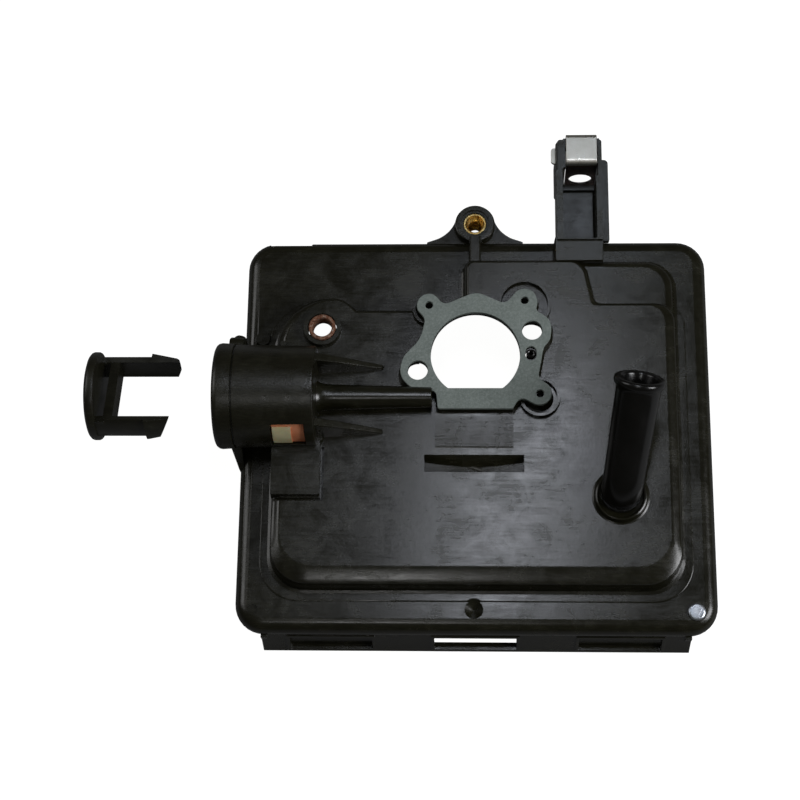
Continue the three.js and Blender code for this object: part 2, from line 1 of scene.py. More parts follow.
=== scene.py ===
# Air filter housing of a small engine, seen on its carburettor side, with its primer button drawn out.
# Sizes are in millimetres from the middle of the moulded plate, with z up from the table it stands on;
# each finished mesh is moved to the frame, in metres, by one matrix.
import math
import bmesh
import bpy
from mathutils import Matrix, Vector


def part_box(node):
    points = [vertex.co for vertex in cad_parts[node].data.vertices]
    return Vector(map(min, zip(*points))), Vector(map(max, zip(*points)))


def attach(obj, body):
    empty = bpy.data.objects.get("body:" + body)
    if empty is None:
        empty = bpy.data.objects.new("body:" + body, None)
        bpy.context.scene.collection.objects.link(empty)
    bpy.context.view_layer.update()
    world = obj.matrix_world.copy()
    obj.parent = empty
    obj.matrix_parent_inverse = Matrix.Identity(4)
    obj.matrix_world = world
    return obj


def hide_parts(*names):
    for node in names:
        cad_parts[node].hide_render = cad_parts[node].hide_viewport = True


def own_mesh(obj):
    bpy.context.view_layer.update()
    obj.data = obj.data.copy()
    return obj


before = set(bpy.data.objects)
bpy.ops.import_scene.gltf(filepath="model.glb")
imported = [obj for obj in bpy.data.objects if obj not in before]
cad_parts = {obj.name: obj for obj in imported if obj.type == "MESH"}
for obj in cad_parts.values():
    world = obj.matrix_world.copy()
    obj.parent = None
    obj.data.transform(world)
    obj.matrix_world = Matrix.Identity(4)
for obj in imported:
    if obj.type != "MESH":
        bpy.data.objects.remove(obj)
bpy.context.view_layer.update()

# ---------------------------------------------------------------- base plate
# The big moulding: a flange with a rolled lip, and a raised hollow platform that carries everything else.
# Injection moulded in black glass-filled nylon in one shot; the gate and the flow show as faint streaks.
plate_low, plate_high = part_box("base_plate")
plate_middle = Vector(((plate_low.x + plate_high.x) / 2, (plate_low.y + plate_high.y) / 2, 0))
to_frame = Matrix.Translation(plate_middle) @ Matrix.Scale(0.001, 4)
half_width = (plate_high.x - plate_low.x) * 500
half_depth = (plate_high.y - plate_low.y) * 500


def box_mm(node):
    """The two corners of a node's box, in millimetres from the middle of the plate."""
    low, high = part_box(node)
    return (low - plate_middle) * 1000, (high - plate_middle) * 1000


def paint(hex_colour):
    """Turn an sRGB hex colour to linear light."""
    channels = [int(hex_colour[i:i + 2], 16) / 255 for i in (1, 3, 5)]
    return (*[c / 12.92 if c <= 0.04045 else ((c + 0.055) / 1.055) ** 2.4 for c in channels], 1)


def add_node(tree, kind, settings=None, out=0, **plugs):
    """Add a shader node; a plug named _1 is the socket of that number, the rest are sockets' names."""
    made = tree.nodes.new("ShaderNode" + kind)
    for name, value in (settings or {}).items():
        if name != "stops":
            setattr(made, name, value)
            continue
        marks = made.color_ramp.elements
        while len(marks) < len(value):
            marks.new(0.5)
        for mark, (place, colour) in zip(marks, value):
            mark.position, mark.color = place, paint(colour) if isinstance(colour, str) else (colour,) * 3 + (1,)
    for name, value in plugs.items():
        socket = made.inputs[int(name[1:]) if name[0] == "_" else name.replace("_", " ")]
        if isinstance(value, bpy.types.NodeSocket):
            tree.links.new(value, socket)
        else:
            socket.default_value = value
    return made.outputs[out] if made.outputs else made


def start_material(name):
    material = bpy.data.materials.new(name)
    material.use_nodes = True
    material.node_tree.nodes.clear()
    return material, material.node_tree, add_node(material.node_tree, "TexCoord", out="Object")


def rounded_outline(corners, segments=6):
    """Points of an outline through corners (x, y, radius), each rounded by its radius."""
    flat = bmesh.new()
    spots = [flat.verts.new((x, y, 0)) for x, y, _ in corners]
    flat.faces.new(spots)
    for i, (x, y, radius) in enumerate(corners):
        before = Vector((x, y)) - Vector(corners[i - 1][:2])
        after = Vector(corners[(i + 1) % len(corners)][:2]) - Vector((x, y))
        bmesh.ops.bevel(
            flat, geom=[spots[i]], offset=radius * math.tan(before.angle(after) / 2), offset_type="OFFSET",
            segments=segments, profile=0.5, affect="VERTICES", material=-1)
    flat.faces.ensure_lookup_table()
    points = [(loop.vert.co.x, loop.vert.co.y) for loop in flat.faces[0].loops]
    flat.free()
    return points


def stack(levels):
    """A closed solid through outlines of equal count, each given with its height."""
    bm = bmesh.new()
    rings = []
    for points, z in levels:
        verts = [bm.verts.new((x, y, z)) for x, y in points]
        rings.append((verts, [bm.edges.new((a, b)) for a, b in zip(verts, verts[1:] + verts[:1])]))
    for (_, below), (_, above) in zip(rings, rings[1:]):
        bmesh.ops.bridge_loops(bm, edges=below + above)
    bm.faces.new(rings[0][0])
    bm.faces.new(rings[-1][0])
    bmesh.ops.recalc_face_normals(bm, faces=bm.faces)
    return bm


def stack_along_x(levels):
    """The same through outlines in (y, z), each given with its place along x."""
    bm = stack(levels)
    turn = Matrix(((0, 0, 1, 0), (1, 0, 0, 0), (0, 1, 0, 0), (0, 0, 0, 1)))
    bmesh.ops.transform(bm, matrix=turn, verts=bm.verts)
    bmesh.ops.recalc_face_normals(bm, faces=bm.faces)
    return bm


def slab(corners, z0, z1, segments=6):
    points = rounded_outline(corners, segments)
    return stack([(points, z0), (points, z1)])


def oblong(x0, x1, y0, y1, radius=0.0):
    return [(x0, y0, radius), (x1, y0, radius), (x1, y1, radius), (x0, y1, radius)]


def disc(x, y, z0, z1, radius, top_radius=None, sides=48):
    bm = bmesh.new()
    bmesh.ops.create_cone(
        bm, cap_ends=True, segments=sides, radius1=radius, radius2=radius if top_radius is None else top_radius,
        depth=z1 - z0, matrix=Matrix.Translation((x, y, (z0 + z1) / 2)))
    return bm


def as_object(bm, name="tool"):
    mesh = bpy.data.meshes.new(name)
    bm.to_mesh(mesh)
    bm.free()
    made = bpy.data.objects.new(name, mesh)
    bpy.context.scene.collection.objects.link(made)
    return made


def combine(base, tools, operation):
    """Join the tools to the base, cut them from it, or keep what they share."""
    body = as_object(base)
    helpers = [as_object(tool) for tool in tools]
    for helper in helpers:
        change = body.modifiers.new("change", "BOOLEAN")
        change.operation, change.solver, change.object = operation, "EXACT", helper
    result = bmesh.new()
    result.from_object(body, bpy.context.evaluated_depsgraph_get())
    for spent in [body, *helpers]:
        mesh = spent.data
        bpy.data.objects.remove(spent)
        bpy.data.meshes.remove(mesh)
    bmesh.ops.remove_doubles(result, verts=result.verts, dist=0.004)
    bmesh.ops.dissolve_degenerate(result, edges=result.edges, dist=0.004)
    return result


def finish_piece(name, bm, material, edge=0.25, sharp=35, steps=2):
    """Move a mesh to the frame, shade it smooth between sharp edges, and break those edges with a small round."""
    bmesh.ops.dissolve_limit(
        bm, angle_limit=math.radians(0.5), use_dissolve_boundaries=False, verts=bm.verts, edges=bm.edges)
    bmesh.ops.transform(bm, matrix=to_frame, verts=bm.verts)
    piece = as_object(bm, name)
    piece.data.shade_smooth()
    piece.data.set_sharp_from_angle(angle=math.radians(sharp))
    piece.data.materials.append(material)
    if edge:
        round_off = piece.modifiers.new("edges", "BEVEL")
        round_off.width = edge / 1000
        round_off.segments = steps
        round_off.limit_method = "ANGLE"
        round_off.angle_limit = math.radians(sharp)
        round_off.miter_outer = "MITER_ARC"
        flatten = piece.modifiers.new("shading", "WEIGHTED_NORMAL")
        flatten.keep_sharp = True
    return piece


def glass_filled_nylon(name, streak, gloss=0.2, grain_depth=0.000014):
    # Black glass-filled nylon, injection moulded: a dark olive-grey skin with a satin gloss. Fibres near the
    # surface give it a fine grain, and the melt's flow leaves long faint streaks that catch the light in bands.
    # Dust and rubbing have dulled it in soft patches about 10 mm across, with fine scratches at all angles.
    material, tree, where = start_material(name)
    stretched = add_node(tree, "Mapping", Vector=where, Scale=streak)
    flow = add_node(tree, "TexNoise", Vector=stretched, Scale=1.0, Detail=3.0, Roughness=0.6, Distortion=0.2)
    grain = add_node(tree, "TexNoise", Vector=where, Scale=1500.0, Detail=3.0, Roughness=0.65)
    cloud = add_node(tree, "TexNoise", Vector=where, Scale=100.0, Detail=7.0, Roughness=0.66, Distortion=0.8)
    aslant = add_node(tree, "Mapping", Vector=where, Scale=(300.0, 2600.0, 900.0), Rotation=(0, 0, 0.9))
    scratches = add_node(tree, "TexNoise", Vector=aslant, Scale=1.0, Detail=3.0, Roughness=0.6, Distortion=0.5)
    dust = add_node(tree, "Math", {"operation": "MULTIPLY"}, _0=cloud, _1=scratches)
    tint = add_node(tree, "ValToRGB", {"stops": [
        (0.14, "#15140b"), (0.26, "#1b1a10"), (0.36, "#232217"), (0.5, "#313129")]}, Fac=dust)
    dulled = add_node(tree, "ValToRGB", {"stops": [(0.36, 0.0), (0.66, 0.12)]}, Fac=cloud)
    streaked = add_node(tree, "Math", {"operation": "MULTIPLY_ADD"}, _0=flow, _1=0.16, _2=gloss - 0.1)
    rough = add_node(tree, "Math", {"operation": "ADD"}, _0=streaked, _1=dulled)
    coarse = add_node(tree, "Bump", Distance=0.000007, Height=flow)
    rubbed = add_node(tree, "Bump", Distance=0.00001, Height=scratches, Normal=coarse)
    fine = add_node(tree, "Bump", Distance=grain_depth, Height=grain, Normal=rubbed)
    add_node(tree, "OutputMaterial", Surface=add_node(
        tree, "BsdfPrincipled", Base_Color=tint, Roughness=rough, Normal=fine, IOR=1.53))
    return material


# Streaks along x, about 0.7 mm apart and 8 mm long, in cycles per metre.
nylon = glass_filled_nylon("moulded_glass_filled_nylon", (120.0, 1400.0, 1400.0))

lip_radius, flange_top, flange_bottom, plate_corner = 4.0, 15.0, 10.5, 9.0


def plate_outline(inset):
    return rounded_outline(oblong(
        inset - half_width, half_width - inset, inset - half_depth, half_depth - inset, plate_corner - inset), 8)


lip = [(plate_outline(0), flange_bottom)]
lip_steps = 8
for step in range(lip_steps + 1):
    angle = math.radians(90 * step / lip_steps)
    lip.append((
        plate_outline(lip_radius * (1 - math.cos(angle))), flange_top - 0.12 - lip_radius * (1 - math.sin(angle))))
lip.append((plate_outline(lip_radius + 0.25), flange_top))
flange = stack(lip)

# Edges of the platform where it leaves the flange; each level above is drawn in by its own amount per side.
platform_top = 23.0
platform_levels = [  # height, then inset at the left, right, bottom and top
    (14.0, 0.0, 0.0, 0.0, 0.0), (15.6, 0.0, 0.0, 0.0, 0.0), (15.9, 0.8, 0.8, 0.9, 0.5),
    (20.8, 1.4, 1.3, 1.5, 0.9), (21.7, 1.8, 1.7, 2.0, 1.1), (22.2, 2.6, 2.5, 3.2, 1.4),
    (22.75, 3.4, 3.6, 5.6, 1.8), (22.95, 3.9, 4.3, 6.6, 2.1), (23.0, 4.4, 4.8, 7.2, 2.4),
]
platform_corners = [
    (-63.3, -51.8, 11.5), (63.3, -51.8, 11.5), (63.3, 40.1, 6.5), (38.4, 40.1, 3), (35.4, 54.6, 6),
    (-4.4, 54.6, 3), (-4.4, 37.9, 2.5), (-37.4, 37.9, 2), (-41.6, 42.0, 8), (-63.3, 42.0, 17),
]


def drawn_in(corners, left, right, bottom, top):
    """Move the platform's corners inwards by an amount for each side, and tighten their radii to suit."""
    moved = []
    for x, y, radius in corners:
        shift_x = left if x < -50 else -right if x > 50 else top if x == -4.4 else -top if x > 30 else 0
        shift_y = bottom if y < -50 else -top
        moved.append((x + shift_x, y + shift_y, max(radius - top * 0.6, 1.2)))
    return moved


platform = stack([
    (rounded_outline(drawn_in(platform_corners, *insets), 8), z) for z, *insets in platform_levels])

margin = stack([
    (rounded_outline(drawn_in(platform_corners, -spread, -spread, -spread, -spread * 0.4), 8), z)
    for z, spread in [(14.0, 2.3), (15.25, 2.3), (15.45, 2.0)]])

low_step_corners = [(29.0, 33.0, 2), (63.3, 33.0, 2), (63.3, 55.4, 9.5), (29.0, 55.4, 4)]
low_step = stack([
    (rounded_outline(drawn_in(low_step_corners, 0, inset, 0, inset), 8), z)
    for z, inset in [(14, 0), (15.6, 0), (15.9, 0.8), (18.9, 1.4), (20.2, 2.1), (20.9, 3.4), (21.0, 4.2)]])

hub = (0.0, 20.2)
# Outline of the joint face and its gasket: lugs round two bolt holes and three small holes, with soft hollows
# between them.
joint_corners = [
    (-11.4, 2.8, 0.6), (11.3, 2.8, 0.6), (13.6, 6.7, 2.2), (19.3, 3.6, 3.2), (23.1, 5.4, 3.2), (23.2, 9.7, 3.2),
    (19.1, 12.6, 2.2), (20.9, 22.7, 4), (23.1, 25.2, 4.2), (23.4, 31.4, 4.2), (18.5, 34.6, 1.6), (19.3, 37.2, 3),
    (18.1, 41.3, 3.4), (13.5, 41.8, 3.4), (9.3, 36.6, 2.4), (0.3, 40.7, 5), (-9.9, 36.3, 2.4), (-12.9, 40.3, 3.2),
    (-17.2, 39.6, 3.4), (-18.4, 35.4, 2.8), (-15.4, 31.8, 2.5), (-16.8, 25.2, 9), (-22.0, 19.6, 5.2),
    (-23.6, 13.4, 5.2), (-19.0, 9.0, 4.4), (-12.0, 8.4, 1.6),
]
joint_outline = rounded_outline(joint_corners, 5)


def grown(points, amount):
    """Spread an outline away from the middle of the throat, by the amount at 20 mm from it."""
    return [(
        hub[0] + (x - hub[0]) * (1 + amount / 20), hub[1] + (y - hub[1]) * (1 + amount / 20)) for x, y in points]


pad_top = 26.7
joint_pad = stack([
    (grown(joint_outline, 0.6), flange_top - 1), (grown(joint_outline, 0.6), platform_top + 0.4),
    (grown(joint_outline, 0.3), platform_top + 1.2), (grown(joint_outline, -0.1), pad_top)])
ramp_side = rounded_outline([(-9.4, 22, 0), (2.9, 22, 0), (2.9, 24.3, 0.3), (1.6, 24.2, 0.5), (-8.6, 23.05, 2)])
ramp = stack_along_x([(ramp_side, -12.2), (ramp_side, 11.6)])
ear_spots = [(-14.3, 36.3, 5.2), (15.2, 37.8, 8.2), (19.7, 7.6, 6.2)]
ear_boss_wall = 0.9
ear_bosses = [  # each a low round wall, open inside, under its corner of the gasket
    combine(disc(x, y, platform_top - 1, 25.0, radius + 0.25, radius),
            [disc(x, y, platform_top + 0.1, 30, radius - ear_boss_wall)], "DIFFERENCE")
    for x, y, radius in ear_spots]

bushing_spot = (-47.5, 30.0)
bushing_boss = disc(*bushing_spot, flange_top - 1, 25.4, 6.4, 5.7)
foot_pad = stack([
    (rounded_outline(oblong(-62.2, -46.8, -23.9, -4, 0.8)), platform_top - 3),
    (rounded_outline(oblong(-61.9, -47.2, -23.5, -4, 0.6)), platform_top + 2.4)])
rib_to_ear = stack([
    (rounded_outline(oblong(-2.1, 1.9, 37, half_depth - 0.3, 0.2)), flange_top - 1),
    (rounded_outline(oblong(-1.8, 1.6, 37, half_depth - 0.3, 0.2)), 18.7),
    (rounded_outline(oblong(-1.4, 1.2, 37, half_depth - 0.3, 0.2)), 19)])
moulded_pips = [
    disc(-66.9, 29.6, flange_top - 1, flange_top + 1.1, 2.9, 2.2),
    disc(-47.4, -5.6, platform_top - 1, 25.2, 1.3, 1.0),
    disc(-59.6, 25.2, platform_top - 1, 24.0, 1.1, 0.9)]
plate = combine(flange, [
    platform, margin, low_step, joint_pad, *ear_bosses, bushing_boss, foot_pad, rib_to_ear, ramp,
    *moulded_pips], "UNION")

# The underside: a tray for the cartridge, air chambers above it, and hollows under the throat and the bolts.
wall, lip_wall = 2.5, 2.6
ceiling = platform_top - wall
bolt_spots, bolt_radius = [(-17.6, 15.1), (17.4, 28.0)], 3.1
tray = slab(
    oblong(lip_wall - half_width, half_width - lip_wall, lip_wall - half_depth, half_depth - lip_wall,
           plate_corner - lip_wall), 0, flange_top - wall)
below_roof, joint_wall, throat_room = flange_top - wall - 1, 1.5, 17.4
platform_hollow = slab(oblong(-41, 57.8, -46.8, 33.4, 5), below_roof, ceiling)
upper_hollow = slab(oblong(0.8, 57.8, 32, 49.6, 2), below_roof, ceiling - 2)
throat_hollow = [
    disc(*hub, below_roof, pad_top - joint_wall, throat_room), disc(*hub, below_roof, 16, 21, throat_room)]
bolt_hollows = [disc(x, y, ceiling - 1, pad_top - joint_wall, 4.4) for x, y in bolt_spots]
bushing_relief = disc(*bushing_spot, below_roof, ceiling + 0.2, 8.8, 4.7)
hollow = combine(tray, [platform_hollow, upper_hollow, *throat_hollow, *bolt_hollows, bushing_relief], "UNION")
louvre_pan = slab(oblong(-17, 16.3, -17.3, -9, 1), 18.4, ceiling + 1)
hollow = combine(hollow, [louvre_pan], "DIFFERENCE")


def throat_bore(z0, z1, radius=13.7, flat=9.3):
    bore = disc(*hub, z0, z1, radius, sides=72)
    bmesh.ops.bisect_plane(
        bore, geom=bore.verts[:] + bore.edges[:] + bore.faces[:], plane_co=(0, flat, 0), plane_no=(0, -1, 0),
        clear_outer=True)
    bmesh.ops.holes_fill(bore, edges=[edge for edge in bore.edges if edge.is_boundary])
    return bore


port_spot = (17.0, 20.5)
socket_low, socket_high = box_mm("breather_socket")
socket_spot = ((socket_low.x + socket_high.x) / 2, (socket_low.y + socket_high.y) / 2)
pin_low, pin_high = box_mm("corner_pin")
pin_spot = ((pin_low.x + pin_high.x) / 2, (pin_low.y + pin_high.y) / 2)
top = 40.0  # above everything on the plate
# The louvre's far wall slopes to a sagging foot, and its near wall is steep.
louvre_sags = [
    (-15.5, 0.0), (-15.0, 0.6), (-10, 1.3), (-4, 1.8), (2, 1.9), (8, 1.5), (14.4, 0.6), (14.8, 0.0)]
louvre = stack_along_x([
    ([(-10.3, 24.0), (-10.4, 22.95), (-11.6 - sag, 20.2), (-15.4, 19.9), (-15.8, 22.6), (-15.9, 24.0)], x)
    for x, sag in louvre_sags])
pad_grooves = [
    slab(oblong(-46.9, -46.0, -24.9, -8, 0.3), platform_top - 1.2, top),
    slab(oblong(-61.9, -46.0, -24.9, -24.0, 0.3), platform_top - 1.2, top)]
barrel_low, barrel_high = box_mm("primer_barrel")
axis_y, axis_z = (barrel_low.y + barrel_high.y) / 2, (barrel_low.z + barrel_high.z) / 2
barrel_bed = disc(0, 0, barrel_low.x, barrel_high.x - 1, 14.6, sides=72)  # hidden inside the barrel's wall
bmesh.ops.transform(
    barrel_bed, matrix=Matrix(((0, 0, 1, 0), (0, 1, 0, axis_y), (-1, 0, 0, axis_z), (0, 0, 0, 1))),
    verts=barrel_bed.verts)
cone_dimple = disc(-0.4, -56.4, flange_top - 2.2, flange_top + 1, 0.1, 4.1, sides=28)
ejector_mark = disc(-67.3, -56.6, flange_top - 0.35, top, 1.6, sides=20)
edge_notch = slab(oblong(-66, -52.5, half_depth - 1.4, half_depth + 9, 0.3), 0, top)
cuts = [
    barrel_bed, hollow, *pad_grooves, throat_bore(0, top),
    *[disc(x, y, 0, top, bolt_radius, sides=32) for x, y in bolt_spots],
    *[disc(x, y, 23, top, 1.1, sides=20) for x, y, _ in ear_spots],
    disc(*port_spot, 0, top, 1.7, sides=24), disc(*bushing_spot, 0, top, 4.5, sides=36),
    disc(*socket_spot, 0, top, 5.9), disc(*pin_spot, 0, top, 1.8, sides=20),
    cone_dimple, ejector_mark, edge_notch, louvre]
plate = combine(plate, cuts, "DIFFERENCE")
base = finish_piece("moulded_base", plate, nylon, edge=0.35)
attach(base, "housing")
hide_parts("base_plate")

# ---------------------------------------------------------------- filter fence
# The wall round the filter tray, on the underside; the cartridge's foam rim seals against its lower edge.
# Moulded with the plate, drawn in a little towards its edge so that the mould could open.
_, fence_high = box_mm("filter_fence")
fence_half_x, fence_half_y, fence_wall = fence_high.x, fence_high.y, 2.0
fence = stack([
    (rounded_outline(oblong(inset - fence_half_x, fence_half_x - inset, inset - fence_half_y, fence_half_y - inset,
                            8 - inset)), z)
    for z, inset in [(0, 0.2), (0.4, 0), (flange_top - wall + 0.2, 0)]])
fence_room = slab(oblong(
    fence_wall - fence_half_x, fence_half_x - fence_wall, fence_wall - fence_half_y, fence_half_y - fence_wall,
    6), -1, flange_top)
fence = combine(fence, [fence_room], "DIFFERENCE")
fence = finish_piece("filter_tray_fence", fence, nylon, edge=0.3)
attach(fence, "housing")
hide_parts("filter_fence")

# ---------------------------------------------------------------- hinge rail
# A leaning strip under the near edge of the flange, with an open window for the cover's hinge tab between two
# blind ones. Moulded with the plate; each window has a thin raised frame.
rail_low, rail_high = box_mm("hinge_rail")
rail_half, rail_top, rail_wall = rail_high.x, rail_high.z, 2.0
rail_lean = [(rail_low.y, 0.0), (rail_low.y + 3.3, rail_top)]


def leaning_strip(x0, x1, z0, z1, proud, depth):
    """A strip in the leaning plane of the rail, from its outer skin inwards."""
    (y_foot, _), (y_head, height) = rail_lean
    slope = (y_head - y_foot) / height
    side = [(y_foot + slope * z, z) for z in (z0, z1)]
    corners = [
        (side[0][0] - proud, z0), (side[0][0] + depth, z0), (side[1][0] + depth, z1), (side[1][0] - proud, z1)]
    return stack_along_x([(corners, x0), (corners, x1)])


window_pitch, window_half, window_z0, window_z1 = 43.8, 12.5, 1.8, 8.6
rim, blind_depth, through = 0.9, 1.2, 8  # width of a window's frame, and depths of blind and open windows
rail = leaning_strip(-rail_half, rail_half, 0, rail_top + 0.4, 0, rail_wall)
frames = [leaning_strip(
    i * window_pitch - window_half - rim, i * window_pitch + window_half + rim, window_z0 - rim, window_z1 + rim,
    0.35, rail_wall) for i in (-1, 0, 1)]
ends = [
    slab(oblong(x, x + rail_wall, rail_low.y + 2.2, rail_high.y), 0, rail_top)
    for x in (-rail_half, rail_half - rail_wall)]
rail = combine(rail, frames + ends, "UNION")
windows = [leaning_strip(
    i * window_pitch - window_half, i * window_pitch + window_half, window_z0, window_z1, 3,
    blind_depth if i else through) for i in (-1, 0, 1)]
rail = combine(rail, windows, "DIFFERENCE")
rail = finish_piece("cover_hinge_rail", rail, nylon, edge=0.2)
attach(rail, "housing")
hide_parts("hinge_rail")

# ---------------------------------------------------------------- mounting ear
# A bell-shaped tongue on the far edge with a thick round boss, where a screw fixes the housing to the engine.
# Moulded with the plate; the tongue is thinner than the boss, and a low rib runs back over the flange.
ear_low, ear_high = box_mm("mounting_ear")
ear_radius, insert_hole = 6.4, 3.75
ear_spot = ((ear_low.x + ear_high.x) / 2, ear_high.y - 7.2)
ear_web_low, ear_web_high = 7.0, 12.5
foot = half_depth - 1.5
bell_corners = [
    (ear_low.x, foot, 0), (ear_high.x, foot, 0), (ear_high.x, foot + 1.7, 0.4), (ear_spot[0] + 9.6, foot + 3.7, 9),
    (ear_spot[0] + 7.0, ear_spot[1] + 0.3, 9), (ear_spot[0] + 5.0, ear_spot[1] + 4.9, 4),
    (ear_spot[0] - 5.0, ear_spot[1] + 4.9, 4), (ear_spot[0] - 7.0, ear_spot[1] + 0.3, 9),
    (ear_spot[0] - 9.6, foot + 3.7, 9), (ear_low.x, foot + 1.7, 0.4)]
bell = slab(bell_corners, ear_web_low, ear_web_high, 8)
ear_boss = stack([
    (rounded_outline(oblong(*[c + s * (ear_radius - r) for c, s in
                              [(ear_spot[0], -1), (ear_spot[0], 1), (ear_spot[1], -1), (ear_spot[1], 1)]],
                            (ear_radius - r) * 0.999), 10), z)
    for r, z in [(0.2, ear_low.z), (0, ear_low.z + 0.3), (0.05, ear_high.z - 0.6), (0.2, ear_high.z - 0.2),
                 (0.55, ear_high.z)]])
nib = slab(oblong(-2.1, 1.9, foot, ear_spot[1] - 4, 0.2), 11, 15.4)
rim_step = disc(*ear_spot, ear_high.z - 0.5, 30, 4.6)
ear = combine(bell, [ear_boss, nib], "UNION")
ear = combine(ear, [disc(*ear_spot, 0, 30, insert_hole), rim_step], "DIFFERENCE")
ear = finish_piece("engine_mounting_ear", ear, nylon, edge=0.3)
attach(ear, "housing")
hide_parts("mounting_ear")

# ---------------------------------------------------------------- ear insert
# A threaded brass bush, turned from bar and pressed hot into the ear's boss; its top stands just below the rim.
# The thread is cut as rings, one pitch apart, and the mouth is countersunk.
insert_low, insert_high = box_mm("ear_insert")
insert_foot = insert_low.z - 2.4


def turned(profile, axis="z", spot=(0, 0, 0), steps=48, sweep=360.0):
    """Turn a closed profile of (radius, distance along the axis) points about an axis through the spot."""
    bm = bmesh.new()
    verts = [bm.verts.new((radius, 0, along)) for radius, along in profile]
    edges = [bm.edges.new((a, b)) for a, b in zip(verts, verts[1:] + verts[:1])]
    full = sweep == 360.0
    bmesh.ops.spin(
        bm, geom=verts + edges, cent=(0, 0, 0), axis=(0, 0, 1), angle=math.radians(sweep), steps=steps,
        use_merge=full)
    if not full:
        bmesh.ops.holes_fill(bm, edges=[edge for edge in bm.edges if edge.is_boundary])
    bmesh.ops.remove_doubles(bm, verts=bm.verts, dist=0.0005)
    bmesh.ops.recalc_face_normals(bm, faces=bm.faces)
    if axis == "x":
        bmesh.ops.rotate(bm, verts=bm.verts, cent=(0, 0, 0), matrix=Matrix.Rotation(math.radians(90), 3, "Y"))
    if axis == "y":
        bmesh.ops.rotate(bm, verts=bm.verts, cent=(0, 0, 0), matrix=Matrix.Rotation(math.radians(-90), 3, "X"))
    bmesh.ops.translate(bm, verts=bm.verts, vec=spot)
    return bm


def threaded_bore(bottom, top_end, crest, root, pitch):
    """Profile points up the inside of a threaded hole."""
    points, z = [(root + 0.25, bottom)], bottom + 0.5
    while z + pitch < top_end - 0.4:
        points += [(root, z), (crest, z + pitch / 2)]
        z += pitch
    return points + [(root, z), (root + 0.45, top_end)]


def metal(name, dark, bright, roughness, scratch, relief, grain_size):
    # A bare or plated metal: full metallic reflection, with fine scratches or turning marks in its roughness and
    # relief, so that highlights break up, and a slow drift of colour from handling and age.
    material, tree, where = start_material(name)
    stretched = add_node(tree, "Mapping", Vector=where, Scale=scratch)
    marks = add_node(tree, "TexNoise", Vector=stretched, Scale=1.0, Detail=4.0, Roughness=0.6)
    patches = add_node(tree, "TexNoise", Vector=where, Scale=1000 / grain_size, Detail=3.0, Roughness=0.6)
    tint = add_node(tree, "ValToRGB", {"stops": [(0.32, dark), (0.62, bright)]}, Fac=patches)
    rough = add_node(tree, "ValToRGB", {"stops": [(0.3, roughness - 0.08), (0.7, roughness + 0.12)]}, Fac=marks)
    bump = add_node(tree, "Bump", Distance=relief, Height=marks)
    add_node(tree, "OutputMaterial", Surface=add_node(
        tree, "BsdfPrincipled", Base_Color=tint, Roughness=rough, Normal=bump, Metallic=1.0))
    return material


# Turned brass: warm yellow, with fine turning rings; marks 0.15 mm apart up the axis.
brass = metal("turned_brass", "#c09a52", "#f0d592", 0.28, (900.0, 900.0, 6500.0), 0.00001, 1.6)
insert = turned([
    (3.7, insert_foot), (3.7, insert_high.z - 0.25), (3.5, insert_high.z),
    *reversed(threaded_bore(insert_foot, insert_high.z, 2.25, 2.6, 0.8))], spot=(*ear_spot, 0), steps=64)
insert = finish_piece("brass_ear_insert", insert, brass, edge=0, sharp=30)
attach(insert, "housing")
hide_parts("ear_insert")

# ---------------------------------------------------------------- boss bushing
# A plain steel sleeve in the boss by the barrel; it takes the clamp load of a screw so that the nylon doesn't
# creep. Turned from bar and pressed in; its rim is lightly rusted.
bushing_low, bushing_high = box_mm("boss_bushing")


def rusted_steel(name):
    # Mild steel with light rust: bright worn metal under brown oxide that is rough and not metallic. The spots of
    # rust are about 0.8 mm across.
    material, tree, where = start_material(name)
    spots = add_node(tree, "TexNoise", Vector=where, Scale=1250.0, Detail=6.0, Roughness=0.7)
    tint = add_node(tree, "ValToRGB", {"stops": [
        (0.36, "#3b241a"), (0.5, "#7c4c31"), (0.6, "#9a8474"), (0.72, "#b9b4ac")]}, Fac=spots)
    bare = add_node(tree, "ValToRGB", {"stops": [(0.5, 0.0), (0.68, 1.0)]}, Fac=spots)
    rough = add_node(tree, "ValToRGB", {"stops": [(0.45, 0.85), (0.7, 0.35)]}, Fac=spots)
    bump = add_node(tree, "Bump", Distance=0.00005, Height=spots)
    add_node(tree, "OutputMaterial", Surface=add_node(
        tree, "BsdfPrincipled", Base_Color=tint, Roughness=rough, Normal=bump, Metallic=bare))
    return material


rusty_steel = rusted_steel("lightly_rusted_mild_steel")
bushing = turned([
    (4.2, bushing_low.z), (4.2, bushing_high.z - 0.3), (3.95, bushing_high.z), (3.3, bushing_high.z),
    (3.0, bushing_high.z - 0.35), (3.0, bushing_low.z)], spot=(*bushing_spot, 0), steps=48)
bushing = finish_piece("steel_boss_bushing", bushing, rusty_steel, edge=0)
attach(bushing, "housing")
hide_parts("boss_bushing")

# ---------------------------------------------------------------- primer barrel
# The round barrel at the left that guides the primer button: a wider mouth band with a groove behind it, two
# windows for the button's barbs, and a closed end with an air hole. Moulded with the plate.
mouth_x, barrel_end = barrel_low.x, barrel_high.x
mouth_radius, barrel_radius, bore_radius, end_wall = 16.2, 15.35, 14.0, 1.7
step_x = mouth_x + 5.8
bore_of_duct = 1.5
